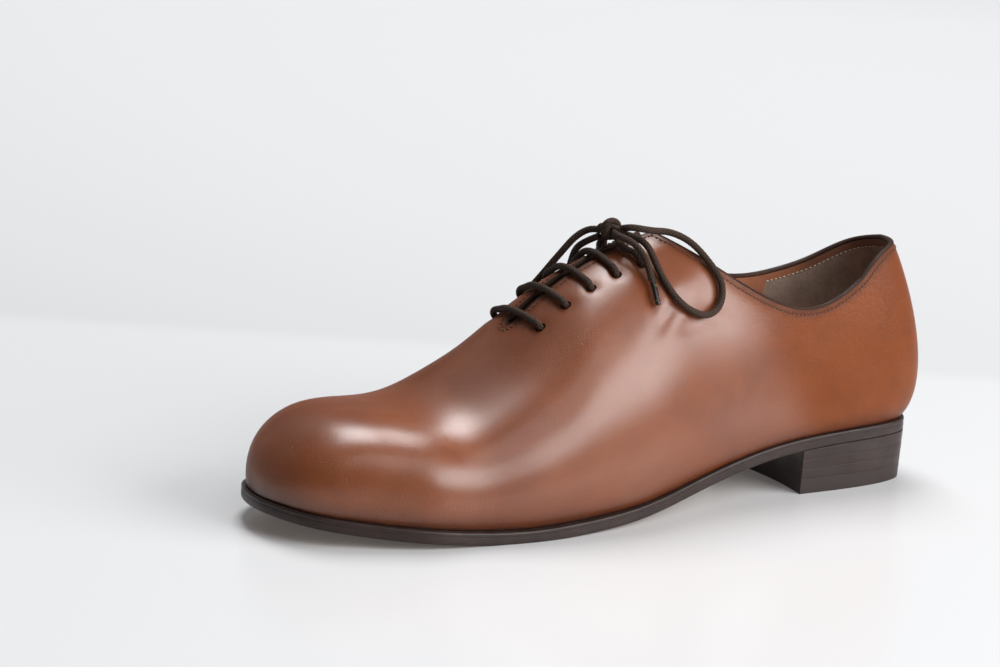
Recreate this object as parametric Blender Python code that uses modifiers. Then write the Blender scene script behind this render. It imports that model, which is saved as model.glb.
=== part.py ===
"""Whole cut oxford, left shoe, size EU 43, standing empty on its sole.

Frame: +X to the toe, +Y to the outer (lateral) side, +Z up, metres. The origin is at the bottom centre of the
shoe's box. The shapes are worked out in last coordinates, with x = 0 at the back of the last's bottom, and an
empty carries every piece to the origin.
"""
import math
from collections import namedtuple

import bmesh
import bpy
import numpy as np
from mathutils import Matrix, Vector

MM = 0.001

# Driving sizes of the last
LAST_LENGTH = 288 * MM
BALL_WIDTH = 88.4 * MM
WAIST_WIDTH = 54.8 * MM
HEEL_WIDTH = 57.2 * MM
HEEL_HEIGHT = 19.6 * MM
TOE_SPRING = 8.4 * MM
INSTEP_HEIGHT = 92 * MM
VAMP_HEIGHT = 48.5 * MM
TOE_HEIGHT = 35.5 * MM
BACK_HEIGHT = 70.2 * MM

# Leather thicknesses, edges and clearances
GAP = 0.3 * MM
SLIVER = GAP / 8
WALL = 2.2 * MM
OUTSOLE_THICKNESS = 3.3 * MM
WELT_THICKNESS = 1.4 * MM
INSOLE_THICKNESS = 2.4 * MM
SOLE_REACH = 3.4 * MM
TOP_PIECE_THICKNESS = 6 * MM
HEEL_LENGTH = 60.5 * MM
BREAST_HOLLOW = 3 * MM
HEEL_TAPER = 0.8 * MM
BINDING_DIAMETER = 2.4 * MM
HEEL_LIFTS = 3

# Slit, eyelets, tongue and lace
SLIT_START = 0.42
SLIT_END = 0.627
SLIT_TOP_GAP = 6.2 * MM
SLIT_END_GAP = 5.0 * MM
CORNER_BLEND = 0.05
CROWN_START = 0.6
NO_COLLAR = 2.0
EYELETS = (0.612, 0.577, 0.541, 0.503, 0.465)
EYELET_ROW = 16.8 * MM
LACE_DIAMETER = 2.7 * MM
EYELET_DIAMETER = LACE_DIAMETER + 1.5 * MM
TONGUE_THICKNESS = 1.8 * MM
TONGUE_HALF_WIDTH = 25 * MM
TONGUE_END = 0.64
TONGUE_TOP = 0.425
TONGUE_DEPTH = WALL + LACE_DIAMETER + 4 * GAP

Outline = namedtuple("Outline", "along width half lean")
OUTLINE = (
    Outline(0.00, HEEL_WIDTH, 0.000, 0.000),
    Outline(0.02, HEEL_WIDTH, 0.322, 0.000),
    Outline(0.05, HEEL_WIDTH, 0.410, 0.000),
    Outline(0.12, HEEL_WIDTH, 0.491, -0.012),
    Outline(0.20, HEEL_WIDTH, 0.500, -0.009),
    Outline(0.30, WAIST_WIDTH, 0.500, 0.015),
    Outline(0.40, WAIST_WIDTH, 0.516, 0.060),
    Outline(0.50, BALL_WIDTH, 0.387, 0.081),
    Outline(0.60, BALL_WIDTH, 0.452, 0.062),
    Outline(0.68, BALL_WIDTH, 0.490, 0.036),
    Outline(0.75, BALL_WIDTH, 0.499, 0.008),
    Outline(0.82, BALL_WIDTH, 0.487, 0.002),
    Outline(0.90, BALL_WIDTH, 0.405, -0.009),
    Outline(0.96, BALL_WIDTH, 0.300, -0.003),
    Outline(1.00, BALL_WIDTH, 0.000, -0.004),
)

Base = namedtuple("Base", "along size share")
BASE = (
    Base(0.00, HEEL_HEIGHT, 1.000),
    Base(0.13, HEEL_HEIGHT, 0.980),
    Base(0.24, HEEL_HEIGHT, 0.842),
    Base(0.32, HEEL_HEIGHT, 0.617),
    Base(0.42, HEEL_HEIGHT, 0.306),
    Base(0.52, HEEL_HEIGHT, 0.097),
    Base(0.62, HEEL_HEIGHT, 0.005),
    Base(0.68, HEEL_HEIGHT, -0.020),
    Base(0.75, TOE_SPRING, 0.012),
    Base(0.82, TOE_SPRING, 0.240),
    Base(0.90, TOE_SPRING, 0.510),
    Base(1.00, TOE_SPRING, 1.000),
)

Ridge = namedtuple("Ridge", "along size share lean")
RIDGE = (
    Ridge(0.00, INSTEP_HEIGHT, 1.065, 0.000),
    Ridge(0.12, INSTEP_HEIGHT, 1.065, 0.000),
    Ridge(0.25, INSTEP_HEIGHT, 1.065, 0.000),
    Ridge(0.35, INSTEP_HEIGHT, 1.025, 0.000),
    Ridge(0.45, INSTEP_HEIGHT, 1.000, -0.011),
    Ridge(0.50, INSTEP_HEIGHT, 0.951, -0.025),
    Ridge(0.55, INSTEP_HEIGHT, 0.884, -0.035),
    Ridge(0.60, INSTEP_HEIGHT, 0.772, -0.057),
    Ridge(0.65, INSTEP_HEIGHT, 0.634, -0.062),
    Ridge(0.70, VAMP_HEIGHT, 1.000, -0.057),
    Ridge(0.75, VAMP_HEIGHT, 0.835, -0.055),
    Ridge(0.80, TOE_HEIGHT, 1.023, -0.051),
    Ridge(0.85, TOE_HEIGHT, 0.994, -0.045),
    Ridge(0.90, TOE_HEIGHT, 0.944, -0.041),
    Ridge(0.96, TOE_HEIGHT, 0.673, -0.034),
    Ridge(1.00, TOE_HEIGHT, 0.000, -0.004),
)

# Section rows: how far the wall swells outside the feather, as shares of its reach, at two heights given as
# shares of the ridge height, and how wide the crown is
Section = namedtuple("Section", "along low_outer low_inner low_up high_outer high_inner high_up crown")
SECTIONS = (
    Section(0.00, 0.386, 0.386, 0.14, 0.136, 0.136, 0.50, 0.55),
    Section(0.12, 0.280, 0.280, 0.15, 0.070, 0.080, 0.50, 0.53),
    Section(0.30, 0.350, 0.450, 0.18, 0.090, 0.180, 0.60, 0.48),
    Section(0.45, 0.420, 0.500, 0.22, 0.050, 0.100, 0.75, 0.50),
    Section(0.60, 0.250, 0.300, 0.28, 0.050, 0.050, 0.88, 0.56),
    Section(0.75, 0.140, 0.140, 0.32, 0.060, 0.060, 0.95, 0.58),
    Section(0.88, 0.120, 0.120, 0.36, 0.060, 0.060, 0.95, 0.61),
    Section(1.00, 0.120, 0.120, 0.36, 0.060, 0.060, 0.95, 0.60),
)

# Collar rows by station: heights over the feather
Collar = namedtuple("Collar", "station size outer inner")
COLLAR = (
    Collar(0.00, BACK_HEIGHT, 1.000, 1.000),
    Collar(0.40, BACK_HEIGHT, 0.998, 0.932),
    Collar(0.80, BACK_HEIGHT, 0.909, 0.815),
    Collar(1.00, BACK_HEIGHT, 0.835, 0.776),
    Collar(1.10, BACK_HEIGHT, 0.730, 0.758),
    Collar(1.18, INSTEP_HEIGHT, 0.680, 0.690),
    Collar(1.26, INSTEP_HEIGHT, 0.915, 0.885),
    Collar(1.33, INSTEP_HEIGHT, 1.120, 1.100),
)

# Reach of the sole's edge outside the feather
Edge = namedtuple("Edge", "along share")
EDGE = (
    Edge(0.00, 0.47),
    Edge(0.25, 0.47),
    Edge(0.45, 0.60),
    Edge(0.62, 1.00),
    Edge(0.85, 1.00),
    Edge(1.00, 0.45),
)

# The free lace, as places on the upper: along the last, across from the ridge (outer side positive), lift
Lay = namedtuple("Lay", "along across lift")
NEAR_LOOP = (
    Lay(0.459, 7.4, 8.8), Lay(0.448, 9.0, 7.8), Lay(0.434, 9.8, 6.2), Lay(0.418, 10.6, 5.0),
    Lay(0.402, 13.0, 4.0), Lay(0.387, 17.0, 3.0), Lay(0.374, 23.0, 2.4), Lay(0.364, 28.5, 2.1),
    Lay(0.359, 34.0, 2.1), Lay(0.363, 39.0, 2.1), Lay(0.376, 42.8, 2.1), Lay(0.394, 44.0, 2.1),
    Lay(0.417, 42.0, 2.1), Lay(0.436, 37.6, 2.1), Lay(0.446, 32.4, 2.1), Lay(0.451, 26.8, 2.2),
    Lay(0.453, 21.8, 2.8), Lay(0.453, 17.4, 3.6), Lay(0.453, 13.2, 4.2), Lay(0.457, 8.6, 4.4),
)
NEAR_END = (
    Lay(0.477, 7.4, 7.8), Lay(0.471, 11.4, 7.0), Lay(0.467, 15.8, 5.8), Lay(0.466, 20.2, 4.2),
    Lay(0.467, 24.4, 2.7), Lay(0.468, 28.4, 2.1), Lay(0.470, 32.4, 2.1), Lay(0.4715, 36.6, 2.0),
)
FAR_LOOP = (
    Lay(0.484, -6.8, 8.6), Lay(0.498, -8.6, 8.4), Lay(0.512, -11.0, 6.8), Lay(0.526, -14.4, 5.0),
    Lay(0.540, -18.8, 3.4), Lay(0.553, -23.6, 2.5), Lay(0.564, -29.4, 2.1), Lay(0.570, -35.6, 2.1),
    Lay(0.568, -41.6, 2.1), Lay(0.557, -46.0, 2.1), Lay(0.541, -47.4, 2.1), Lay(0.525, -45.0, 2.1),
    Lay(0.512, -39.4, 2.1), Lay(0.504, -32.6, 2.2), Lay(0.499, -26.0, 2.9), Lay(0.496, -19.6, 4.2),
    Lay(0.495, -14.0, 5.4), Lay(0.494, -9.8, 5.2),
)
FAR_END = (
    Lay(0.462, -8.8, 5.0), Lay(0.457, -13.4, 3.8), Lay(0.452, -19.0, 2.6), Lay(0.449, -25.6, 2.1),
    Lay(0.448, -32.6, 2.1), Lay(0.450, -39.6, 2.1), Lay(0.453, -46.6, 2.1), Lay(0.456, -53.4, 2.1),
    Lay(0.458, -60.0, 2.1),
)
KNOT = Lay(0.472, 0.4, 6.2)
KNOT_SIZE = (12 * MM, 14.5 * MM, 8.5 * MM)
AGLET_LENGTH = 9.5 * MM
AGLET_DIAMETER = 2.2 * MM

# Where the stations of the upper's loft lie: round the heel, along the quarter, at the collar's corner with the
# slit, along the slit, and over the toe
FAN_ALONG = 0.12
FAN_COLUMNS = 8
QUARTER_COLUMNS = 6
CORNER_ALONGS = (0.385, 0.395, 0.405, 0.415, 0.425, 0.44)
SLIT_FIRST = 0.46
SLIT_COLUMNS = 8
TOE_COLUMNS = 15
ROWS = 13
OUTER, INNER = 1, -1

# Where the columns of the soles and of the heel lie
FLAT_SPOT = (0.64, 0.73)
SOLE_COLUMNS = 34
HEEL_ALONGS = (0.0, 0.002, 0.008, 0.02, 0.04, 0.07, 0.11, 0.155)
BREAST_COLUMNS = 8
FREE_LACE = ("lace_knot", "near_loop", "far_loop", "near_end", "far_end", "near_aglet", "far_aglet")

COLOURS = {
    "calf": ((0.24, 0.085, 0.036), 0.38),
    "binding": ((0.045, 0.020, 0.012), 0.45),
    "sole_edge": ((0.035, 0.024, 0.020), 0.42),
    "rubber": ((0.02, 0.018, 0.017), 0.65),
    "insole": ((0.45, 0.30, 0.18), 0.6),
    "lace": ((0.035, 0.020, 0.015), 0.6),
    "aglet": ((0.015, 0.012, 0.010), 0.3),
}


def curve_through(places, values):
    """The natural cubic spline through the table's values, as a function of place."""
    places = np.asarray(places, float)
    order = np.argsort(places)
    places = places[order]
    values = np.asarray(values, float)[order]
    count = len(places)
    steps = np.diff(places)
    slopes = np.diff(values) / steps
    system = np.eye(count)
    right = np.zeros(count)
    for i in range(1, count - 1):
        system[i, i - 1:i + 2] = steps[i - 1], 2 * (steps[i - 1] + steps[i]), steps[i]
        right[i] = 6 * (slopes[i] - slopes[i - 1])
    bend = np.linalg.solve(system, right)

    def value(at):
        at = np.clip(np.asarray(at, float), places[0], places[-1])
        i = np.clip(np.searchsorted(places, at) - 1, 0, count - 2)
        step = steps[i]
        a = (places[i + 1] - at) / step
        b = (at - places[i]) / step
        return a * values[i] + b * values[i + 1] + (
            (a ** 3 - a) * bend[i] + (b ** 3 - b) * bend[i + 1]) * step * step / 6

    return value


def column(table, name):
    return np.array([getattr(row, name) for row in table])


def round_ends(along):
    """Angle of a place along the last, which makes the outline round at heel and toe."""
    return np.arccos(1 - 2 * np.clip(along, 0, 1))


def round_toe(along):
    """Distance from the toe that makes the ridge round there."""
    return np.sqrt(np.clip(1 - np.asarray(along, float), 0, 1))


outline_angles = round_ends(column(OUTLINE, "along"))
half_width = curve_through(outline_angles, column(OUTLINE, "width") * column(OUTLINE, "half"))
centre_line = curve_through(outline_angles, BALL_WIDTH * column(OUTLINE, "lean"))
base_height = curve_through(column(BASE, "along"), column(BASE, "size") * column(BASE, "share"))
ridge_height = curve_through(round_toe(column(RIDGE, "along")), column(RIDGE, "size") * column(RIDGE, "share"))
ridge_lean = curve_through(round_toe(column(RIDGE, "along")), BALL_WIDTH * column(RIDGE, "lean"))
section_share = {
    name: curve_through(round_toe(column(SECTIONS, "along")), column(SECTIONS, name))
    for name in Section._fields[1:]
}
edge_share = curve_through(column(EDGE, "along"), column(EDGE, "share"))


def underside(along):
    """Height of the outsole's underside, flat on the floor under the ball."""
    return np.maximum(base_height(along), 0)


def outsole_top(along):
    return base_height(along) + OUTSOLE_THICKNESS


def feather_height(along):
    """Height of the upper's bottom edge, on the welt."""
    return outsole_top(along) + GAP + WELT_THICKNESS + GAP


def outline_point(along, side, reach=0.0):
    """Point of the last's bottom outline, moved out along the outline's own normal."""
    angle = round_ends(along)
    step = 1e-3

    def at(turn):
        x = LAST_LENGTH / 2 * (1 - np.cos(turn))
        y = centre_line(np.clip(turn, 0, math.pi)) + side * half_width(np.clip(turn, 0, math.pi))
        return np.stack([x, y], -1)

    tangent = at(np.minimum(angle + step, math.pi)) - at(np.maximum(angle - step, 0))
    tangent /= np.linalg.norm(tangent, axis=-1, keepdims=True)
    outward = np.stack([-tangent[..., 1], tangent[..., 0]], -1) * side
    ends = np.isclose(along, 0)[..., None] * [-1.0, 0] + np.isclose(along, 1)[..., None] * [1.0, 0]
    outward = np.where(np.abs(ends).sum(-1, keepdims=True) > 0, ends, outward)
    return at(angle) + outward * np.reshape(reach, np.shape(along) + (1,))


def plane(station):
    """Cutting plane of a station: 0 to 1 turns round the heel, 1 to 2 goes on to the toe."""
    station = np.asarray(station, float)
    turn = np.clip(station, 0, 1) * math.pi / 2
    start = round_ends(FAN_ALONG)
    angle = start + (math.pi - start) * np.clip(station - 1, 0, 1)
    fan = station < 1
    along = np.where(fan, FAN_ALONG * (1 - np.cos(turn)), (1 - np.cos(angle)) / 2)
    origin = np.where(fan, FAN_ALONG, along) * LAST_LENGTH
    toward = np.where(fan, -np.cos(turn), 0.0), np.where(fan, np.sin(turn), 1.0)
    return along, origin, toward


def station_of(along):
    start = round_ends(FAN_ALONG)
    return 1 + (round_ends(along) - start) / (math.pi - start)


def rim_run(station):
    """Distance round the collar from the heel's back, as a share of the last, so that its height changes evenly."""
    turn = np.clip(station, 0, 1) * math.pi / 2
    ahead = np.maximum(plane(station)[0] - FAN_ALONG, 0)
    return turn * HEEL_WIDTH / 2 / LAST_LENGTH + ahead


rim_knots = rim_run(column(COLLAR, "station"))
collar_height = {
    OUTER: curve_through(rim_knots, column(COLLAR, "size") * column(COLLAR, "outer")),
    INNER: curve_through(rim_knots, column(COLLAR, "size") * column(COLLAR, "inner")),
}


def reach_at(station, side):
    """Distance from the plane's upright to the feather."""
    along, origin, _ = plane(station)
    angles = np.linspace(0, math.pi, 1601)
    xs = LAST_LENGTH / 2 * (1 - np.cos(angles))
    ys = side * centre_line(angles) + half_width(angles)
    heel = xs < 1.3 * FAN_ALONG * LAST_LENGTH
    turns = np.arctan2(ys[heel], FAN_ALONG * LAST_LENGTH - xs[heel])
    radii = np.hypot(ys[heel], FAN_ALONG * LAST_LENGTH - xs[heel])
    around = np.interp(np.clip(station, 0, 1) * math.pi / 2, turns, radii)
    forward = np.interp(origin, xs, ys) - side * ridge_lean(round_toe(along))
    return np.where(np.asarray(station) < 1, around, forward)


def wall(station, share, side):
    """Point of the upper's outer face: share 0 at the feather, 1 at the ridge."""
    station, share = np.broadcast_arrays(np.asarray(station, float), np.asarray(share, float))
    along, origin, toward = plane(station)
    reach = reach_at(station, side)
    place = round_toe(along)
    height = ridge_height(place)
    named = {name: curve(place) for name, curve in section_share.items()}
    low = named["low_outer"] if side == OUTER else named["low_inner"]
    high = named["high_outer"] if side == OUTER else named["high_inner"]
    cage = (
        (reach, 0 * height),
        (reach * (1 + low), named["low_up"] * height),
        (reach * (1 + high), named["high_up"] * height),
        (reach * named["crown"], height),
        (0 * reach, height),
    )
    weights = [math.comb(4, i) * share ** i * (1 - share) ** (4 - i) for i in range(5)]
    out = sum(weight * knot[0] for weight, knot in zip(weights, cage))
    up = sum(weight * knot[1] for weight, knot in zip(weights, cage))
    lean = np.where(station < 1, 0.0, ridge_lean(place))
    return np.stack([
        origin + out * toward[0],
        lean + side * out * toward[1],
        feather_height(along) + up,
    ], -1)


def normal(station, share, side):
    """Outward normal of the upper's outer face."""
    step = 1e-3
    station, share = np.broadcast_arrays(np.asarray(station, float), np.asarray(share, float))
    ahead = wall(np.minimum(station + step, 1.999), share, side)
    behind = wall(np.clip(station - step, 0, 1.99), share, side)
    above = wall(station, np.minimum(share + step, 1), side)
    below = wall(station, np.maximum(share - step, 0), side)
    across = np.cross(ahead - behind, above - below) * -side
    return across / (np.linalg.norm(across, axis=-1, keepdims=True) + 1e-15)


def slit_half_gap(along):
    """Half the slit's opening, closed by a round end."""
    half = np.interp(along, [SLIT_START, SLIT_END], [SLIT_TOP_GAP / 2, SLIT_END_GAP / 2])
    into_end = 1 - (SLIT_END - along) * LAST_LENGTH / (SLIT_END_GAP / 2)
    return half * np.sqrt(np.clip(1 - np.maximum(into_end, 0) ** 2, 0, 1))


def top_share(station, side):
    """Share of the section at which the upper ends: at the collar, at the slit's edge, or closed at the ridge."""
    shares = np.linspace(0, 1, 121)
    ends = []
    for at in np.atleast_1d(station):
        along = float(plane(at)[0])
        if along >= SLIT_END:
            ends.append(1.0)
            continue
        section = wall(at, shares, side)
        height = float(collar_height[side](rim_run(at)))
        over = height - (section[-1, 2] - feather_height(along))
        if at > COLLAR[-1].station:
            collar = NO_COLLAR
        elif over > 0:
            collar = 1 + over / INSTEP_HEIGHT
        else:
            collar = np.interp(height, section[:, 2] - feather_height(along), shares)
        if at < 1:
            ends.append(float(collar))
            continue
        lean = float(ridge_lean(round_toe(along)))
        aside = side * (section[:, 1] - lean)
        half = float(slit_half_gap(along))
        crown = shares > CROWN_START
        slit = np.interp(-half, -aside[crown], shares[crown])
        mix = min(max(0.5 + 0.5 * (slit - collar) / CORNER_BLEND, 0), 1)
        blend = slit + (collar - slit) * mix - CORNER_BLEND * mix * (1 - mix)
        ends.append(float(min(blend, slit)))
    return np.array(ends)


def skin(along, across, lift):
    """Point over the upper's outer face: across is measured over the face from the ridge, lift along its normal."""
    side = OUTER if across >= 0 else INNER
    station = station_of(along)
    shares = np.linspace(1, 0, 241)
    section = wall(station, shares, side)
    lengths = np.concatenate([[0], np.cumsum(np.linalg.norm(np.diff(section, axis=0), axis=1))])
    share = np.interp(abs(across), lengths, shares)
    return wall(station, share, side) + normal(station, min(share, 0.995), side) * lift


def smooth_route(points, count):
    """Evenly spaced points on a smooth curve through the route's own points."""
    points = np.asarray(points, float)
    lengths = np.concatenate([[0], np.cumsum(np.linalg.norm(np.diff(points, axis=0), axis=1))])
    curves = [curve_through(lengths, points[:, axis]) for axis in range(3)]
    fine = np.linspace(0, lengths[-1], 40 * count)
    dense = np.stack([curve(fine) for curve in curves], -1)
    run = np.concatenate([[0], np.cumsum(np.linalg.norm(np.diff(dense, axis=0), axis=1))])
    at = np.linspace(0, run[-1], count)
    return np.stack([np.interp(at, run, dense[:, axis]) for axis in range(3)], -1)


def clear_scene():
    for thing in list(bpy.data.objects):
        bpy.data.objects.remove(thing)


def new_collection(name):
    collection = bpy.data.collections.new(name)
    bpy.context.scene.collection.children.link(collection)
    return collection


def material(name):
    found = bpy.data.materials.get(name)
    if found:
        return found
    colour, roughness = COLOURS[name]
    made = bpy.data.materials.new(name)
    made.use_nodes = True
    shader = made.node_tree.nodes["Principled BSDF"]
    shader.inputs["Base Color"].default_value = (*colour, 1)
    shader.inputs["Roughness"].default_value = roughness
    shader.inputs["Metallic"].default_value = 0
    return made


def add_piece(shoe, name, data, finish):
    """Links one sub-part, carried by the shoe's empty."""
    made = bpy.data.objects.new(name, data)
    data.materials.append(material(finish))
    shoe["collection"].objects.link(made)
    made.parent = shoe["carrier"]
    return made


def mesh_of(build, name):
    data = bpy.data.meshes.new(name)
    build.normal_update()
    build.to_mesh(data)
    build.free()
    data.shade_smooth()
    data.set_sharp_from_angle(angle=math.radians(35))
    return data


def loft(build, rows, closed=False):
    """Quads between rows of points with the same count."""
    verts = [[build.verts.new(point) for point in row] for row in rows]
    pairs = list(zip(verts, verts[1:])) + ([(verts[-1], verts[0])] if closed else [])
    for first, second in pairs:
        for i in range(len(first) - 1):
            build.faces.new((first[i], first[i + 1], second[i + 1], second[i]))
    return verts


def plate_alongs():
    """Places along a sole, closer together at the round ends, with the flat spot's ends among them."""
    alongs = (1 - np.cos(np.linspace(0, math.pi, SOLE_COLUMNS))) / 2
    for flat in FLAT_SPOT:
        alongs[np.abs(alongs - flat).argmin()] = flat
    return alongs


def plate(name, alongs, reach, bottom, top):
    """Closed slab under the last: reach, bottom and top are functions of the place along it."""
    build = bmesh.new()
    rings = []
    for height in (bottom, top):
        edge = []
        for side in (OUTER, INNER):
            plan = outline_point(alongs, side, reach(alongs))
            places = np.clip(plan[:, 0] / LAST_LENGTH, 0, 1)
            edge.append(np.concatenate([plan, height(places)[:, None]], 1))
        rings.append(edge)
    (low_outer, low_inner), (high_outer, high_inner) = rings
    rows = [[low_outer[i], high_outer[i], high_inner[i], low_inner[i], low_outer[i]] for i in range(len(alongs))]
    loft(build, rows)
    bmesh.ops.remove_doubles(build, verts=build.verts, dist=0.01 * MM)
    bmesh.ops.holes_fill(build, edges=build.edges)
    bmesh.ops.recalc_face_normals(build, faces=build.faces)
    return mesh_of(build, name)


def edge_reach(along):
    return SOLE_REACH * edge_share(along)


def wall_inset(along):
    return np.full(np.shape(along), -WALL - GAP)


def add_soles(shoe):
    """Outsole, welt and insole, one over the other."""
    outsole = plate("outsole", plate_alongs(), edge_reach, underside, outsole_top)
    add_piece(shoe, "outsole", outsole, "sole_edge")

    alongs = plate_alongs()
    rows = []
    for side, order in ((OUTER, 1), (INNER, -1)):
        outer = outline_point(alongs, side, edge_reach(alongs))
        inner = outline_point(alongs, side, wall_inset(alongs) + GAP / 3)
        picks = range(len(alongs)) if order == 1 else range(len(alongs) - 2, 0, -1)
        for i in picks:
            low = [outsole_top(point[0] / LAST_LENGTH) + GAP for point in (outer[i], inner[i])]
            rows.append([
                (*outer[i], low[0]), (*outer[i], low[0] + WELT_THICKNESS),
                (*inner[i], low[1] + WELT_THICKNESS), (*inner[i], low[1]), (*outer[i], low[0]),
            ])
    build = bmesh.new()
    loft(build, rows, closed=True)
    bmesh.ops.remove_doubles(build, verts=build.verts, dist=0.01 * MM)
    bmesh.ops.recalc_face_normals(build, faces=build.faces)
    add_piece(shoe, "welt", mesh_of(build, "welt"), "sole_edge")

    def inset(along):
        return wall_inset(along) - GAP / 3

    def insole_low(along):
        return outsole_top(along) + GAP

    def insole_high(along):
        return feather_height(along) + INSOLE_THICKNESS

    add_piece(shoe, "insole", plate("insole", alongs, inset, insole_low, insole_high), "insole")


def heel_slab(name, low, high, low_taper, high_taper):
    """One layer of the heel: its outline is the sole's, cut off at the hollow breast."""
    front = HEEL_LENGTH / LAST_LENGTH
    alongs = np.append([along for along in HEEL_ALONGS if along < 0.9 * front], front)
    build = bmesh.new()
    layers = []
    for height, taper in ((low, low_taper), (high, high_taper)):
        sides = {}
        for side in (OUTER, INNER):
            sides[side] = outline_point(alongs, side, edge_reach(alongs) - taper)
        outer, inner = sides[OUTER], sides[INNER][::-1]
        shares = np.linspace(0, 1, BREAST_COLUMNS + 1)[1:-1]
        breast = [
            outer[-1] * (1 - t) + inner[0] * t - np.array([BREAST_HOLLOW * 4 * t * (1 - t), 0]) for t in shares
        ]
        plan = np.concatenate([outer, breast, inner[:-1]])
        places = np.clip(plan[:, 0] / LAST_LENGTH, 0, 1)
        layers.append([build.verts.new((*p, z)) for p, z in zip(plan, height(places))])
    count = len(layers[0])
    for i in range(count):
        j = (i + 1) % count
        build.faces.new((layers[0][i], layers[0][j], layers[1][j], layers[1][i]))
    build.faces.new(layers[0])
    build.faces.new(layers[1])
    bmesh.ops.triangulate(build, faces=[face for face in build.faces if len(face.verts) > 4])
    bmesh.ops.recalc_face_normals(build, faces=build.faces)
    return mesh_of(build, name)


def add_heel(shoe):
    """Rubber top piece on the floor and leather lifts that follow the seat."""

    def flat(height):
        return lambda along: np.full(np.shape(along), height)

    def level(share, under):
        return lambda along: start + (underside(along) - start) * share - (GAP if under else 0)

    start = TOP_PIECE_THICKNESS + GAP
    taper = HEEL_TAPER * (1 - TOP_PIECE_THICKNESS / HEEL_HEIGHT)
    piece = heel_slab("heel_top_piece", flat(0.0), flat(TOP_PIECE_THICKNESS), HEEL_TAPER, taper)
    add_piece(shoe, "heel_top_piece", piece, "rubber")
    for i in range(HEEL_LIFTS):
        low, high = i / HEEL_LIFTS, (i + 1) / HEEL_LIFTS
        tapers = [taper * (1 - share) for share in (low, high)]
        lift = heel_slab(f"heel_lift_{i + 1}", level(low, False), level(high, True), *tapers)
        add_piece(shoe, f"heel_lift_{i + 1}", lift, "sole_edge")


def upper_stations():
    """Stations of the loft, with the slit's round end among them."""
    end_radius = SLIT_END_GAP / 2 / LAST_LENGTH
    fan = np.linspace(0, 1, FAN_COLUMNS + 1)[:-1]
    quarter = np.linspace(1, station_of(CORNER_ALONGS[0]), QUARTER_COLUMNS + 1)[:-1]
    corner = station_of(np.array(CORNER_ALONGS))
    slit = station_of(np.linspace(SLIT_FIRST, SLIT_END - end_radius, SLIT_COLUMNS))
    slit_end = station_of(np.array([SLIT_END - 0.29 * end_radius, SLIT_END]))
    toe = np.linspace(station_of(SLIT_END), 2, TOE_COLUMNS + 1)[1:]
    return np.concatenate([fan, quarter, corner, slit, slit_end, toe])


def add_upper(shoe, cutters):
    """The whole cut upper: one lofted skin with Solidify, open at collar, slit and bottom, with punched eyelets."""
    stations = upper_stations()
    rows = []
    for side, order in ((OUTER, stations), (INNER, stations[-2:0:-1])):
        tops = top_share(order, side)
        for station, top in zip(order, tops):
            shares = np.linspace(0, top, ROWS)
            rows.append(wall(min(station, 2), shares, side))
    build = bmesh.new()
    loft(build, rows, closed=True)
    bmesh.ops.remove_doubles(build, verts=build.verts, dist=0.02 * MM)
    bmesh.ops.recalc_face_normals(build, faces=build.faces)
    upper = add_piece(shoe, "upper", mesh_of(build, "upper"), "calf")
    shell = upper.modifiers.new("wall", "SOLIDIFY")
    shell.thickness = WALL
    shell.offset = -1
    shell.use_even_offset = True
    shell.use_quality_normals = True
    for number, along in enumerate(EYELETS, 1):
        for side in (OUTER, INNER):
            name = f"eyelet_cutter_{number}_{'outer' if side == OUTER else 'inner'}"
            cutter = add_eyelet_cutter(cutters, name, along, side, shoe["carrier"])
            hole = upper.modifiers.new(name, "BOOLEAN")
            hole.operation = "DIFFERENCE"
            hole.solver = "EXACT"
            hole.object = cutter
    keep_clean(upper)


def keep_clean(piece):
    """Makes a cut piece's own mesh of its modifiers' result, without the slivers that the cuts leave."""
    bpy.context.view_layer.update()
    cut = bpy.data.meshes.new_from_object(piece.evaluated_get(bpy.context.evaluated_depsgraph_get()))
    build = bmesh.new()
    build.from_mesh(cut)
    bmesh.ops.triangulate(build, faces=build.faces)
    for _ in range(3):
        bmesh.ops.dissolve_degenerate(build, dist=SLIVER, edges=build.edges)
        bmesh.ops.triangulate(build, faces=build.faces)
    build.to_mesh(cut)
    build.free()
    piece.modifiers.clear()
    piece.data = cut


def add_eyelet_cutter(cutters, name, along, side, carrier):
    build = bmesh.new()
    radius = EYELET_DIAMETER / 2
    bmesh.ops.create_cone(build, cap_ends=True, segments=12, radius1=radius, radius2=radius, depth=6 * WALL)
    data = bpy.data.meshes.new(name)
    build.to_mesh(data)
    build.free()
    cutter = bpy.data.objects.new(name, data)
    cutters.objects.link(cutter)
    top = skin(along, side * EYELET_ROW, WALL)
    axis = Vector(top - skin(along, side * EYELET_ROW, -WALL)).normalized()
    cutter.parent = carrier
    cutter.matrix_local = Matrix.Translation(Vector(skin(along, side * EYELET_ROW, -WALL / 2))) @ (
        axis.to_track_quat("Z", "Y").to_matrix().to_4x4())
    cutter.hide_render = True
    cutter.display_type = "WIRE"
    return cutter


def add_tongue(shoe):
    """Thin tongue under the slit, clear of the lace's hidden runs."""
    alongs = np.linspace(TONGUE_TOP, TONGUE_END, 12)
    acrosses = np.linspace(-TONGUE_HALF_WIDTH, TONGUE_HALF_WIDTH, 11)
    rows = [[skin(along, across, -TONGUE_DEPTH) for across in acrosses] for along in alongs]
    build = bmesh.new()
    loft(build, rows)
    bmesh.ops.recalc_face_normals(build, faces=build.faces)
    build.faces.ensure_lookup_table()
    if sum(face.normal.z for face in build.faces) < 0:
        bmesh.ops.reverse_faces(build, faces=build.faces)
    tongue = add_piece(shoe, "tongue", mesh_of(build, "tongue"), "binding")
    shell = tongue.modifiers.new("thickness", "SOLIDIFY")
    shell.thickness = TONGUE_THICKNESS
    shell.offset = -1


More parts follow.
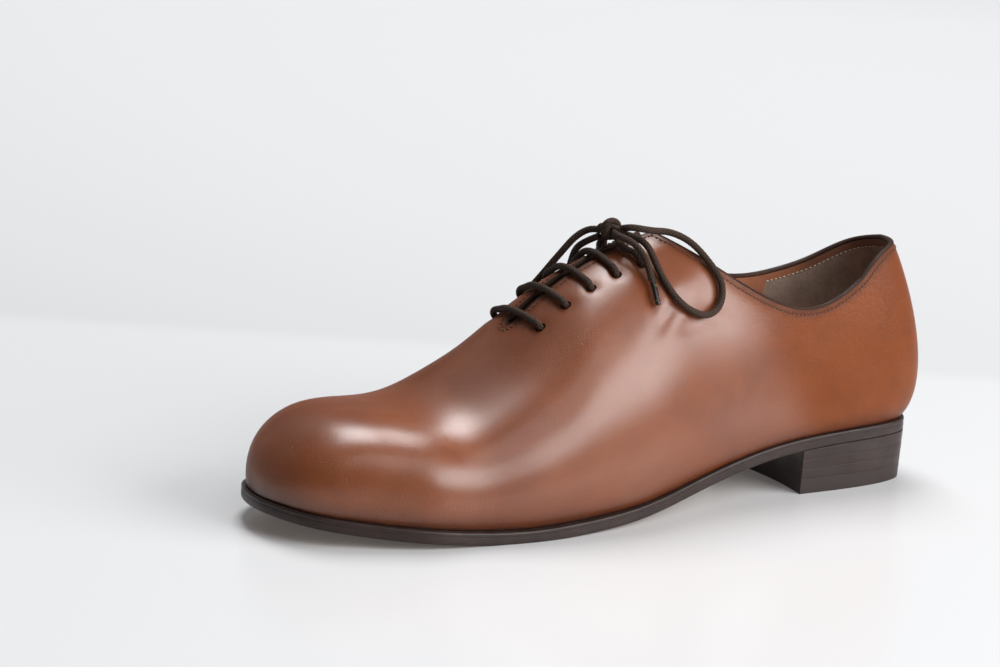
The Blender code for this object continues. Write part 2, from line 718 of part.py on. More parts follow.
def add_tube(shoe, name, points, diameter, finish, closed=False):
    """A round strand with a bevelled curve and filled caps."""
    data = bpy.data.curves.new(name, "CURVE")
    data.dimensions = "3D"
    data.bevel_depth = diameter / 2
    data.bevel_resolution = 2
    data.use_fill_caps = True
    data.twist_mode = "MINIMUM"
    spline = data.splines.new("POLY")
    spline.points.add(len(points) - 1)
    for point, place in zip(spline.points, points):
        point.co = (*place, 1)
    spline.use_cyclic_u = closed
    return add_piece(shoe, name, data, finish)


def top_edge(stations, side):
    """Points on the upper's top edge with the face's normal there."""
    shares = np.minimum(top_share(stations, side), 1)
    points = wall(stations, shares, side)
    return points, normal(stations, np.minimum(shares, 0.99), side)


def add_binding(shoe):
    """Rolled binding round the collar and the slit, lying along the upper's edge."""
    stations = upper_stations()
    stations = stations[stations <= station_of(SLIT_END) + 1e-9]
    outer, outer_normals = top_edge(stations, OUTER)
    inner, inner_normals = top_edge(stations[-2:0:-1], INNER)
    points = np.concatenate([outer, inner])
    normals = np.concatenate([outer_normals, inner_normals])
    ahead = np.roll(points, -1, 0) - np.roll(points, 1, 0)
    ahead /= np.linalg.norm(ahead, axis=1, keepdims=True)
    outward = np.cross(ahead, normals)
    outward /= np.linalg.norm(outward, axis=1, keepdims=True)
    if outward[0][2] < 0:
        outward = -outward
    route = points - normals * WALL / 2 + outward * (BINDING_DIAMETER / 2 + GAP)
    add_tube(shoe, "topline_binding", route, BINDING_DIAMETER, "binding", closed=True)


def lace_route():
    """One lace through the eyelets: straight bars outside, runs under the facings, both ends out at the top pair."""
    over = LACE_DIAMETER / 2 + GAP * 1.6
    under = -(WALL + LACE_DIAMETER / 2 + 2 * GAP)
    row = EYELET_ROW
    bars = EYELETS[:-1]
    turn = LACE_DIAMETER * 0.5

    def hole(along, side, upward):
        lifts = (under + turn, -WALL / 2, over - turn)
        places = [(along, side * row, lift) for lift in lifts]
        return places if upward else places[::-1]

    def bar(along, side):
        """Across the slit, from this side to the other."""
        spread = (row - turn, row * 0.72, row * 0.36, 0, -row * 0.36, -row * 0.72, -row + turn)
        return [(along, side * across, over + (0.6 * MM if abs(across) < row / 2 else 0)) for across in spread]

    def run(first, second, side):
        """Hidden run between two holes of one side."""
        shares = (0.14, 0.5, 0.86)
        return [(first + (second - first) * share, side * row, under) for share in shares]

    top = EYELETS[-1]

    def rise(side):
        """From the top eyelet to the knot."""
        shares = ((0.002, 0.90, 0), (0.004, 0.72, 1), (0.009, 0.52, 1.6))
        return [(top + ahead, side * row * across, over + up * GAP) for ahead, across, up in shares]

    route = rise(INNER)[::-1] + hole(top, INNER, False)
    for share in (0.06, 0.25, 0.5, 0.75, 0.94):
        along = top + (EYELETS[0] - top) * share
        route.append((along, INNER * row + 2 * row * share, under))
    side = OUTER
    for number, along in enumerate(bars):
        route += hole(along, side, True)
        route += bar(along, side)
        side = -side
        route += hole(along, side, False)
        route += run(along, EYELETS[number + 1], side)
    route += hole(top, side, True) + rise(side)
    return [skin(*place) for place in route]


def lay_points(lay):
    return [skin(row.along, row.across * MM, row.lift * MM) for row in lay]


def knot_frame():
    """Centre of the knot and its axes, the last one along the upper's normal."""
    centre = skin(KNOT.along, KNOT.across * MM, KNOT.lift * MM)
    up = centre - skin(KNOT.along, KNOT.across * MM, 0)
    turn = Vector(up).to_track_quat("Z", "Y")
    return centre, turn


def meet_knot(route, count):
    """Lengthens a strand's start to the knot and cuts it off where its end face just clears the knot."""
    centre, turn = knot_frame()
    axes = np.array(turn.to_matrix())
    route = np.asarray(route)
    fine = smooth_route(np.concatenate([[route[0] + (centre - route[0]) * 0.6], route]), 20 * count)
    ahead = np.gradient(fine, axis=0)
    ahead /= np.linalg.norm(ahead, axis=1, keepdims=True)
    side = np.cross(ahead, axes[:, 2])
    side /= np.linalg.norm(side, axis=1, keepdims=True)
    other = np.cross(ahead, side)
    clear = np.full(len(fine), np.inf)
    for angle in np.linspace(0, 2 * math.pi, 9)[:-1]:
        rim = fine + LACE_DIAMETER / 2 * (side * math.cos(angle) + other * math.sin(angle))
        local = (rim - centre) @ axes
        depth = np.linalg.norm(local / (np.array(KNOT_SIZE) / 2), axis=1)
        clear = np.minimum(clear, np.linalg.norm(local, axis=1) * (1 - 1 / depth))
    first = int(np.argmax(clear > GAP))
    return smooth_route(fine[first::10], count)


def add_laces(shoe):
    """The laced bars as one strand, then the knot, two loops and two ends with their tips."""
    bars = meet_knot(lace_route(), 118)
    add_tube(shoe, "lace_bars", meet_knot(bars[::-1], 118), LACE_DIAMETER, "lace")
    build = bmesh.new()
    bmesh.ops.create_uvsphere(build, u_segments=14, v_segments=9, radius=0.5)
    bmesh.ops.scale(build, vec=Vector(KNOT_SIZE), verts=build.verts)
    knot = add_piece(shoe, "lace_knot", mesh_of(build, "lace_knot"), "lace")
    centre, turn = knot_frame()
    knot.location = centre
    knot.rotation_euler = turn.to_euler()
    for name, lay in (("near_loop", NEAR_LOOP), ("far_loop", FAR_LOOP)):
        loop = meet_knot(meet_knot(lay_points(lay), 24)[::-1], 24)
        add_tube(shoe, name, loop, LACE_DIAMETER, "lace")
    for name, lay, count in (("near_end", NEAR_END, 12), ("far_end", FAR_END, 14)):
        route = meet_knot(lay_points(lay), 60)
        lengths = np.concatenate([[0], np.cumsum(np.linalg.norm(np.diff(route, axis=0), axis=1))])
        tip_start = lengths[-1] - AGLET_LENGTH
        strand_at = np.linspace(0, tip_start - GAP, count)
        tip_at = np.linspace(tip_start, lengths[-1], 4)
        strand, tip = (
            np.stack([np.interp(at, lengths, route[:, axis]) for axis in range(3)], -1) for at in (strand_at, tip_at)
        )
        add_tube(shoe, name, strand, LACE_DIAMETER, "lace")
        add_tube(shoe, name.replace("end", "aglet"), tip, AGLET_DIAMETER, "aglet")


def centre_on_box(shoe):
    """Moves the carrier so that the origin is at the bottom centre of the shoe's own box, without the free lace."""
    bpy.context.view_layer.update()
    graph = bpy.context.evaluated_depsgraph_get()
    lows, highs = [], []
    for piece in shoe["collection"].objects:
        if piece.type == "EMPTY" or piece.name in FREE_LACE:
            continue
        whole = piece.evaluated_get(graph)
        points = np.array([whole.matrix_world @ vertex.co for vertex in whole.to_mesh().vertices])
        whole.to_mesh_clear()
        lows.append(points.min(0))
        highs.append(points.max(0))
    low, high = np.min(lows, 0), np.max(highs, 0)
    shoe["carrier"].location = (-(low[0] + high[0]) / 2, -(low[1] + high[1]) / 2, -low[2])


def main():
    clear_scene()
    shoe = {"collection": new_collection("whole_cut_oxford"), "carrier": bpy.data.objects.new("last_origin", None)}
    shoe["collection"].objects.link(shoe["carrier"])
    cutters = new_collection("cutters")
    add_soles(shoe)
    add_heel(shoe)
    add_upper(shoe, cutters)
    add_tongue(shoe)
    add_binding(shoe)
    add_laces(shoe)
    centre_on_box(shoe)


main()
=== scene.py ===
"""Looks of the whole cut oxford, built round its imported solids.

The shapes are worked out again from the solids' own sizes and tables, at a finer pitch, in last coordinates:
x = 0 at the back of the last's bottom, +Y to the outer side, z up from the floor, in metres.
SHIFT carries them to the frame.
"""
import math
from collections import namedtuple

import bmesh
import bpy
import numpy as np
from mathutils import Matrix, Vector
from mathutils.kdtree import KDTree


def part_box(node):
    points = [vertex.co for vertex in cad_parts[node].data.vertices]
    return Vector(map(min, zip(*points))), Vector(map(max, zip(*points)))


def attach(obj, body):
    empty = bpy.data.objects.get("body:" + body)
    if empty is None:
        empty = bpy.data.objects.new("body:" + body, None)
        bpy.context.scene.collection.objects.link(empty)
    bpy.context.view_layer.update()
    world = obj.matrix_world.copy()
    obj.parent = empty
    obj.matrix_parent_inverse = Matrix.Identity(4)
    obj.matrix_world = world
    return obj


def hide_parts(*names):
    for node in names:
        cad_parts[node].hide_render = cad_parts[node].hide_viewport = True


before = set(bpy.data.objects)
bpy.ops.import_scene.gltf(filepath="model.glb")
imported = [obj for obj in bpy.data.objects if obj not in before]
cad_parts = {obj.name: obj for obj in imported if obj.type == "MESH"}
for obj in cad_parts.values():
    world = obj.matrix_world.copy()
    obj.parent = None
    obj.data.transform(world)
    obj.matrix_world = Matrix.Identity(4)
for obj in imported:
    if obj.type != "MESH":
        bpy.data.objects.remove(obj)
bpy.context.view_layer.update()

MM = 0.001

# Driving sizes of the last
LAST_LENGTH = 288 * MM
BALL_WIDTH = 88.4 * MM
WAIST_WIDTH = 54.8 * MM
HEEL_WIDTH = 57.2 * MM
HEEL_HEIGHT = 19.6 * MM
TOE_SPRING = 8.4 * MM
INSTEP_HEIGHT = 92 * MM
VAMP_HEIGHT = 48.5 * MM
TOE_HEIGHT = 35.5 * MM
BACK_HEIGHT = 70.2 * MM

# Leather thicknesses, edges and clearances
GAP = 0.3 * MM
WALL = 2.2 * MM
OUTSOLE_THICKNESS = 3.3 * MM
WELT_THICKNESS = 1.4 * MM
INSOLE_THICKNESS = 2.4 * MM
SOLE_REACH = 3.4 * MM
TOP_PIECE_THICKNESS = 6 * MM
HEEL_LENGTH = 60.5 * MM
BREAST_HOLLOW = 3 * MM
HEEL_TAPER = 0.8 * MM
HEEL_LIFTS = 3

# Slit, eyelets, tongue and lace
SLIT_START = 0.42
SLIT_END = 0.627
SLIT_TOP_GAP = 6.2 * MM
SLIT_END_GAP = 5.0 * MM
CORNER_BLEND = 0.05
CROWN_START = 0.6
NO_COLLAR = 2.0
EYELETS = (0.612, 0.577, 0.541, 0.503, 0.465)
EYELET_ROW = 16.8 * MM
LACE_DIAMETER = 2.7 * MM
EYELET_DIAMETER = LACE_DIAMETER + 1.5 * MM
TONGUE_THICKNESS = 1.8 * MM
TONGUE_HALF_WIDTH = 25 * MM
TONGUE_END = 0.64
TONGUE_TOP = 0.425
TONGUE_DEPTH = WALL + LACE_DIAMETER + 4 * GAP

# The stations turn round the heel up to FAN_ALONG; its polar outline and its lining stitches go to POLAR_END
OUTER, INNER = 1, -1
FAN_ALONG = 0.12
POLAR_END = 1.3 * FAN_ALONG * LAST_LENGTH
SOLE_COLUMNS = 34
FLAT_SPOT = (0.64, 0.73)

# Round the whole shoe: forward along the outer side, and back along the inner one
GOING_ROUND = ((OUTER, slice(None)), (INNER, slice(-2, 0, -1)))

# How finely the outline and the sections are followed, and the shares that stand for the ridge itself
OUTLINE_STEPS = 1601
SECTION_STEPS = 121
SKIN_STEPS = 241
ROUTE_STEPS = 40
NEAR_RIDGE = 0.995
EDGE_NEAR_RIDGE = 0.99
TINY = 1e-15

Outline = namedtuple("Outline", "along width half lean")
OUTLINE = (
    Outline(0.00, HEEL_WIDTH, 0.000, 0.000),
    Outline(0.02, HEEL_WIDTH, 0.322, 0.000),
    Outline(0.05, HEEL_WIDTH, 0.410, 0.000),
    Outline(0.12, HEEL_WIDTH, 0.491, -0.012),
    Outline(0.20, HEEL_WIDTH, 0.500, -0.009),
    Outline(0.30, WAIST_WIDTH, 0.500, 0.015),
    Outline(0.40, WAIST_WIDTH, 0.516, 0.060),
    Outline(0.50, BALL_WIDTH, 0.387, 0.081),
    Outline(0.60, BALL_WIDTH, 0.452, 0.062),
    Outline(0.68, BALL_WIDTH, 0.490, 0.036),
    Outline(0.75, BALL_WIDTH, 0.499, 0.008),
    Outline(0.82, BALL_WIDTH, 0.487, 0.002),
    Outline(0.90, BALL_WIDTH, 0.405, -0.009),
    Outline(0.96, BALL_WIDTH, 0.300, -0.003),
    Outline(1.00, BALL_WIDTH, 0.000, -0.004),
)

Base = namedtuple("Base", "along size share")
BASE = (
    Base(0.00, HEEL_HEIGHT, 1.000),
    Base(0.13, HEEL_HEIGHT, 0.980),
    Base(0.24, HEEL_HEIGHT, 0.842),
    Base(0.32, HEEL_HEIGHT, 0.617),
    Base(0.42, HEEL_HEIGHT, 0.306),
    Base(0.52, HEEL_HEIGHT, 0.097),
    Base(0.62, HEEL_HEIGHT, 0.005),
    Base(0.68, HEEL_HEIGHT, -0.020),
    Base(0.75, TOE_SPRING, 0.012),
    Base(0.82, TOE_SPRING, 0.240),
    Base(0.90, TOE_SPRING, 0.510),
    Base(1.00, TOE_SPRING, 1.000),
)

Ridge = namedtuple("Ridge", "along size share lean")
RIDGE = (
    Ridge(0.00, INSTEP_HEIGHT, 1.065, 0.000),
    Ridge(0.12, INSTEP_HEIGHT, 1.065, 0.000),
    Ridge(0.25, INSTEP_HEIGHT, 1.065, 0.000),
    Ridge(0.35, INSTEP_HEIGHT, 1.025, 0.000),
    Ridge(0.45, INSTEP_HEIGHT, 1.000, -0.011),
    Ridge(0.50, INSTEP_HEIGHT, 0.951, -0.025),
    Ridge(0.55, INSTEP_HEIGHT, 0.884, -0.035),
    Ridge(0.60, INSTEP_HEIGHT, 0.772, -0.057),
    Ridge(0.65, INSTEP_HEIGHT, 0.634, -0.062),
    Ridge(0.70, VAMP_HEIGHT, 1.000, -0.057),
    Ridge(0.75, VAMP_HEIGHT, 0.835, -0.055),
    Ridge(0.80, TOE_HEIGHT, 1.023, -0.051),
    Ridge(0.85, TOE_HEIGHT, 0.994, -0.045),
    Ridge(0.90, TOE_HEIGHT, 0.944, -0.041),
    Ridge(0.96, TOE_HEIGHT, 0.673, -0.034),
    Ridge(1.00, TOE_HEIGHT, 0.000, -0.004),
)

# Section rows: how far the wall swells outside the feather, as shares of its reach, at two heights given as
# shares of the ridge height, and how wide the crown is
Section = namedtuple("Section", "along low_outer low_inner low_up high_outer high_inner high_up crown")
SECTIONS = (
    Section(0.00, 0.386, 0.386, 0.14, 0.136, 0.136, 0.50, 0.55),
    Section(0.12, 0.280, 0.280, 0.15, 0.070, 0.080, 0.50, 0.53),
    Section(0.30, 0.350, 0.450, 0.18, 0.090, 0.180, 0.60, 0.48),
    Section(0.45, 0.420, 0.500, 0.22, 0.050, 0.100, 0.75, 0.50),
    Section(0.60, 0.250, 0.300, 0.28, 0.050, 0.050, 0.88, 0.56),
    Section(0.75, 0.140, 0.140, 0.32, 0.060, 0.060, 0.95, 0.58),
    Section(0.88, 0.120, 0.120, 0.36, 0.060, 0.060, 0.95, 0.61),
    Section(1.00, 0.120, 0.120, 0.36, 0.060, 0.060, 0.95, 0.60),
)

# Collar rows by station: heights over the feather
Collar = namedtuple("Collar", "station size outer inner")
COLLAR = (
    Collar(0.00, BACK_HEIGHT, 1.000, 1.000),
    Collar(0.40, BACK_HEIGHT, 0.998, 0.932),
    Collar(0.80, BACK_HEIGHT, 0.909, 0.815),
    Collar(1.00, BACK_HEIGHT, 0.835, 0.776),
    Collar(1.10, BACK_HEIGHT, 0.730, 0.758),
    Collar(1.18, INSTEP_HEIGHT, 0.680, 0.690),
    Collar(1.26, INSTEP_HEIGHT, 0.915, 0.885),
    Collar(1.33, INSTEP_HEIGHT, 1.120, 1.100),
)

# Reach of the sole's edge outside the feather
Edge = namedtuple("Edge", "along share")
EDGE = (
    Edge(0.00, 0.47),
    Edge(0.25, 0.47),
    Edge(0.45, 0.60),
    Edge(0.62, 1.00),
    Edge(0.85, 1.00),
    Edge(1.00, 0.45),
)

# The free lace, as places on the upper: along the last, across from the ridge (outer side positive), lift
Lay = namedtuple("Lay", "along across lift")
NEAR_LOOP = (
    Lay(0.459, 7.4, 8.8), Lay(0.448, 9.0, 7.8), Lay(0.434, 9.8, 6.2), Lay(0.418, 10.6, 5.0),
    Lay(0.402, 13.0, 4.0), Lay(0.387, 17.0, 3.0), Lay(0.374, 23.0, 2.4), Lay(0.364, 28.5, 2.1),
    Lay(0.359, 34.0, 2.1), Lay(0.363, 39.0, 2.1), Lay(0.376, 42.8, 2.1), Lay(0.394, 44.0, 2.1),
    Lay(0.417, 42.0, 2.1), Lay(0.436, 37.6, 2.1), Lay(0.446, 32.4, 2.1), Lay(0.451, 26.8, 2.2),
    Lay(0.453, 21.8, 2.8), Lay(0.453, 17.4, 3.6), Lay(0.453, 13.2, 4.2), Lay(0.457, 8.6, 4.4),
)
NEAR_END = (
    Lay(0.477, 7.4, 7.8), Lay(0.471, 11.4, 7.0), Lay(0.467, 15.8, 5.8), Lay(0.466, 20.2, 4.2),
    Lay(0.467, 24.4, 2.7), Lay(0.468, 28.4, 2.1), Lay(0.470, 32.4, 2.1), Lay(0.4715, 36.6, 2.0),
)
FAR_LOOP = (
    Lay(0.484, -6.8, 8.6), Lay(0.498, -8.6, 8.4), Lay(0.512, -11.0, 6.8), Lay(0.526, -14.4, 5.0),
    Lay(0.540, -18.8, 3.4), Lay(0.553, -23.6, 2.5), Lay(0.564, -29.4, 2.1), Lay(0.570, -35.6, 2.1),
    Lay(0.568, -41.6, 2.1), Lay(0.557, -46.0, 2.1), Lay(0.541, -47.4, 2.1), Lay(0.525, -45.0, 2.1),
    Lay(0.512, -39.4, 2.1), Lay(0.504, -32.6, 2.2), Lay(0.499, -26.0, 2.9), Lay(0.496, -19.6, 4.2),
    Lay(0.495, -14.0, 5.4), Lay(0.494, -9.8, 5.2),
)
FAR_END = (
    Lay(0.462, -8.8, 5.0), Lay(0.457, -13.4, 3.8), Lay(0.452, -19.0, 2.6), Lay(0.449, -25.6, 2.1),
    Lay(0.448, -32.6, 2.1), Lay(0.450, -39.6, 2.1), Lay(0.453, -46.6, 2.1), Lay(0.456, -53.4, 2.1),
    Lay(0.458, -60.0, 2.1),
)
KNOT = Lay(0.472, 0.4, 6.2)
AGLET_LENGTH = 9.5 * MM
AGLET_DIAMETER = 2.2 * MM


def curve_through(places, values):
    """The natural cubic spline through the table's values, as a function of place."""
    places = np.asarray(places, float)
    order = np.argsort(places)
    places = places[order]
    values = np.asarray(values, float)[order]
    count = len(places)
    steps = np.diff(places)
    slopes = np.diff(values) / steps
    system = np.eye(count)
    right = np.zeros(count)
    for i in range(1, count - 1):
        system[i, i - 1:i + 2] = steps[i - 1], 2 * (steps[i - 1] + steps[i]), steps[i]
        right[i] = 6 * (slopes[i] - slopes[i - 1])
    bend = np.linalg.solve(system, right)

    def value(at):
        at = np.clip(np.asarray(at, float), places[0], places[-1])
        i = np.clip(np.searchsorted(places, at) - 1, 0, count - 2)
        step = steps[i]
        a = (places[i + 1] - at) / step
        b = (at - places[i]) / step
        return a * values[i] + b * values[i + 1] + (
            (a ** 3 - a) * bend[i] + (b ** 3 - b) * bend[i + 1]) * step * step / 6

    return value


def column(table, name):
    return np.array([getattr(row, name) for row in table])


def unit(vectors):
    return vectors / np.linalg.norm(vectors, axis=-1, keepdims=True)


def run_lengths(points):
    """Distance along a line to each of its points."""
    return np.concatenate([[0], np.cumsum(np.linalg.norm(np.diff(points, axis=0), axis=1))])


def at_runs(runs, lengths, points):
    """A line's values at distances along it."""
    return np.stack([np.interp(runs, lengths, points[:, axis]) for axis in range(3)], -1)


def round_ends(along):
    """Angle of a place along the last, which makes the outline round at heel and toe."""
    return np.arccos(1 - 2 * np.clip(along, 0, 1))


def round_toe(along):
    """Distance from the toe that makes the ridge round there."""
    return np.sqrt(np.clip(1 - np.asarray(along, float), 0, 1))


outline_angles = round_ends(column(OUTLINE, "along"))
half_width = curve_through(outline_angles, column(OUTLINE, "width") * column(OUTLINE, "half"))
centre_line = curve_through(outline_angles, BALL_WIDTH * column(OUTLINE, "lean"))
base_height = curve_through(column(BASE, "along"), column(BASE, "size") * column(BASE, "share"))
ridge_places = round_toe(column(RIDGE, "along"))
ridge_height = curve_through(ridge_places, column(RIDGE, "size") * column(RIDGE, "share"))
ridge_lean = curve_through(ridge_places, BALL_WIDTH * column(RIDGE, "lean"))
section_share = {
    name: curve_through(round_toe(column(SECTIONS, "along")), column(SECTIONS, name))
    for name in Section._fields[1:]
}
edge_share = curve_through(column(EDGE, "along"), column(EDGE, "share"))


def underside(along):
    """Height of the outsole's underside, flat on the floor under the ball."""
    return np.maximum(base_height(along), 0)


def outsole_top(along):
    return base_height(along) + OUTSOLE_THICKNESS


def feather_height(along):
    """Height of the upper's bottom edge, on the welt."""
    return outsole_top(along) + GAP + WELT_THICKNESS + GAP


def outline_point(along, side, reach=0.0):
    """Point of the last's bottom outline, moved out along the outline's own normal."""
    angle = round_ends(along)
    step = 1e-3

    def at(turn):
        inside = np.clip(turn, 0, math.pi)
        x = LAST_LENGTH / 2 * (1 - np.cos(turn))
        return np.stack([x, centre_line(inside) + side * half_width(inside)], -1)

    tangent = unit(at(np.minimum(angle + step, math.pi)) - at(np.maximum(angle - step, 0)))
    outward = np.stack([-tangent[..., 1], tangent[..., 0]], -1) * side
    ends = np.isclose(along, 0)[..., None] * [-1.0, 0] + np.isclose(along, 1)[..., None] * [1.0, 0]
    outward = np.where(np.abs(ends).sum(-1, keepdims=True) > 0, ends, outward)
    return at(angle) + outward * np.reshape(reach, np.shape(along) + (1,))


def plane(station):
    """Cutting plane of a station: 0 to 1 turns round the heel, 1 to 2 goes on to the toe."""
    station = np.asarray(station, float)
    turn = np.clip(station, 0, 1) * math.pi / 2
    start = round_ends(FAN_ALONG)
    angle = start + (math.pi - start) * np.clip(station - 1, 0, 1)
    fan = station < 1
    along = np.where(fan, FAN_ALONG * (1 - np.cos(turn)), (1 - np.cos(angle)) / 2)
    origin = np.where(fan, FAN_ALONG, along) * LAST_LENGTH
    toward = np.where(fan, -np.cos(turn), 0.0), np.where(fan, np.sin(turn), 1.0)
    return along, origin, toward


def station_of(along):
    start = round_ends(FAN_ALONG)
    return 1 + (round_ends(along) - start) / (math.pi - start)


def rim_run(station):
    """Distance round the collar from the heel's back, as a share of the last."""
    turn = np.clip(station, 0, 1) * math.pi / 2
    ahead = np.maximum(plane(station)[0] - FAN_ALONG, 0)
    return turn * HEEL_WIDTH / 2 / LAST_LENGTH + ahead


rim_knots = rim_run(column(COLLAR, "station"))
collar_height = {
    side: curve_through(rim_knots, column(COLLAR, "size") * column(COLLAR, name))
    for side, name in ((OUTER, "outer"), (INNER, "inner"))
}


def heel_polar(side):
    """The feather's outline, and its heel end as turns and radii about the fan's upright."""
    angles = np.linspace(0, math.pi, OUTLINE_STEPS)
    xs = LAST_LENGTH / 2 * (1 - np.cos(angles))
    ys = side * centre_line(angles) + half_width(angles)
    heel = xs < POLAR_END
    back = FAN_ALONG * LAST_LENGTH - xs[heel]
    return xs, ys, np.arctan2(ys[heel], back), np.hypot(ys[heel], back)


polar = {side: heel_polar(side) for side in (OUTER, INNER)}


def reach_at(station, side):
    """Distance from the plane's upright to the feather."""
    along, origin, _ = plane(station)
    xs, ys, turns, radii = polar[side]
    around = np.interp(np.clip(station, 0, 1) * math.pi / 2, turns, radii)
    forward = np.interp(origin, xs, ys) - side * ridge_lean(round_toe(along))
    return np.where(np.asarray(station) < 1, around, forward)


def wall(station, share, side):
    """Point of the upper's outer face: share 0 at the feather, 1 at the ridge."""
    station, share = np.broadcast_arrays(np.asarray(station, float), np.asarray(share, float))
    along, origin, toward = plane(station)
    reach = reach_at(station, side)
    place = round_toe(along)
    height = ridge_height(place)
    named = {name: curve(place) for name, curve in section_share.items()}
    which = "outer" if side == OUTER else "inner"
    low, high = named["low_" + which], named["high_" + which]
    cage = (
        (reach, 0 * height),
        (reach * (1 + low), named["low_up"] * height),
        (reach * (1 + high), named["high_up"] * height),
        (reach * named["crown"], height),
        (0 * reach, height),
    )
    weights = [math.comb(4, i) * share ** i * (1 - share) ** (4 - i) for i in range(5)]
    out = sum(weight * knot[0] for weight, knot in zip(weights, cage))
    up = sum(weight * knot[1] for weight, knot in zip(weights, cage))
    lean = np.where(station < 1, 0.0, ridge_lean(place))
    return np.stack([
        origin + out * toward[0],
        lean + side * out * toward[1],
        feather_height(along) + up,
    ], -1)


def normal(station, share, side):
    """Outward normal of the upper's outer face."""
    step = 1e-3
    last_ahead, last_behind = 1.999, 1.99
    station, share = np.broadcast_arrays(np.asarray(station, float), np.asarray(share, float))
    ahead = wall(np.minimum(station + step, last_ahead), share, side)
    behind = wall(np.clip(station - step, 0, last_behind), share, side)
    above = wall(station, np.minimum(share + step, 1), side)
    below = wall(station, np.maximum(share - step, 0), side)
    across = np.cross(ahead - behind, above - below) * -side
    return across / (np.linalg.norm(across, axis=-1, keepdims=True) + TINY)


def slit_half_gap(along):
    """Half the slit's opening, closed by a round end."""
    half = np.interp(along, [SLIT_START, SLIT_END], [SLIT_TOP_GAP / 2, SLIT_END_GAP / 2])
    into_end = 1 - (SLIT_END - along) * LAST_LENGTH / (SLIT_END_GAP / 2)
    return half * np.sqrt(np.clip(1 - np.maximum(into_end, 0) ** 2, 0, 1))


def top_share(station, side):
    """Share of the section where the upper ends: at the collar, at the slit's edge, or at the ridge."""
    shares = np.linspace(0, 1, SECTION_STEPS)
    ends = []
    for at in np.atleast_1d(station):
        along = float(plane(at)[0])
        if along >= SLIT_END:
            ends.append(1.0)
            continue
        section = wall(at, shares, side)
        height = float(collar_height[side](rim_run(at)))
        over = height - (section[-1, 2] - feather_height(along))
        if at > COLLAR[-1].station:
            collar = NO_COLLAR
        elif over > 0:
            collar = 1 + over / INSTEP_HEIGHT
        else:
            collar = np.interp(height, section[:, 2] - feather_height(along), shares)
        if at < 1:
            ends.append(float(collar))
            continue
        lean = float(ridge_lean(round_toe(along)))
        aside = side * (section[:, 1] - lean)
        half = float(slit_half_gap(along))
        crown = shares > CROWN_START
        slit = np.interp(-half, -aside[crown], shares[crown])
        mix = min(max(0.5 + 0.5 * (slit - collar) / CORNER_BLEND, 0), 1)
        blend = slit + (collar - slit) * mix - CORNER_BLEND * mix * (1 - mix)
        ends.append(float(min(blend, slit)))
    return np.array(ends)


def skin_row(along, acrosses, lift):
    """Points over the upper's outer face at one place along: acrosses are measured over the face from the
    ridge, lift along its normal."""
    station = station_of(along)
    shares = np.linspace(1, 0, SKIN_STEPS)
    acrosses = np.asarray(acrosses, float)
    points = np.zeros((len(acrosses), 3))
    for side in (OUTER, INNER):
        here = acrosses >= 0 if side == OUTER else acrosses < 0
        if not here.any():
            continue
        lengths = run_lengths(wall(station, shares, side))
        share = np.interp(np.abs(acrosses[here]), lengths, shares)
        away = normal(station, np.minimum(share, NEAR_RIDGE), side) * lift
        points[here] = wall(station, share, side) + away
    return points


def skin(along, across, lift):
    return skin_row(along, [across], lift)[0]


def smooth_route(points, count):
    """Evenly spaced points on a smooth curve through the route's own points."""
    points = np.asarray(points, float)
    lengths = run_lengths(points)
    fine = np.linspace(0, lengths[-1], ROUTE_STEPS * count)
    dense = np.stack([curve_through(lengths, points[:, axis])(fine) for axis in range(3)], -1)
    run = run_lengths(dense)
    return at_runs(np.linspace(0, run[-1], count), run, dense)


# Where the fine surfaces have their columns and rows
FINE_SOLE_COLUMNS = 170
FAN_COLUMNS = 46
QUARTER_COLUMNS = 78
SLIT_COLUMNS = 70
END_COLUMNS = 12
TOE_COLUMNS = 110
CALF_ROWS = 64
LINING_ROWS = 26
LINING_DENSITY = 0.6
COLUMN_MARGIN = 0.02
FAN_EDGE_STEPS = 120
LONG_EDGE_STEPS = 420
ROUND_EDGE_STEPS = 40
EDGE_STEP = 0.25 * MM
BINDING_STEP = 0.8 * MM
BINDING_SIDES = 18
EYELET_SIDES = 40
AGLET_SIDES = 24
AGLET_RINGS = 24
AGLET_START_RINGS = 5
AGLET_TIP_RINGS = 6
STITCH_SIDES = 8
STITCH_RINGS = 7
TONGUE_ROWS = 60
TONGUE_COLUMNS = 49
INSOLE_COLUMNS = 20
HEEL_COLUMNS = 60
BREAST_COLUMNS = 24
PROFILE_ROUNDS = 5
SHARP_ANGLE = 40
SOLE_SHARP_ANGLE = 50

# Leather layers, edges and stitches
CALF_THICKNESS = 1.15 * MM
LAYER_GAP = 0.02 * MM
PUNCH_DEPTH = 6 * WALL
UPPER_WELD = 0.02 * MM
TRIM_WELD = 0.01 * MM
RIM_WELD = 0.005 * MM
DIMPLE_DEPTH = 0.55 * MM
DIMPLE_SPREAD = EYELET_DIAMETER * 0.72
FOLDS_FADE = 0.05
BINDING_RISE = 0.25 * MM
BINDING_TALL = 1.6 * MM
BINDING_WIDE = WALL + 0.32 * MM
STITCH_INSET = 2.1 * MM
LINING_STITCH_INSET = 3.5 * MM
STITCH_SINK = 0.10 * MM
LINING_STITCH_SINK = 0.02 * MM
STITCH_PITCH = 1.95 * MM
STITCH_LENGTH = 1.4 * MM
STITCH_RADIUS = 0.24 * MM
SUEDE_END = 1.04
SUEDE_START = 3.9 * MM
LACE_SIDES = 32
LACE_STEP = 0.26 * MM
BRAID_PITCH = 1.7 * MM
BRAID_STRANDS = 12
BRAID_RELIEF = 0.075
LACE_CLEARANCE = 0.12 * MM
BAR_RISE = 0.25 * MM
INTO_KNOT = 0.62
AGLET_RIM = 0.35 * MM
AGLET_SQUEEZE = 0.62
BAND_START, BAND_END = -0.30, 1.22
BAND_POINTS = 22

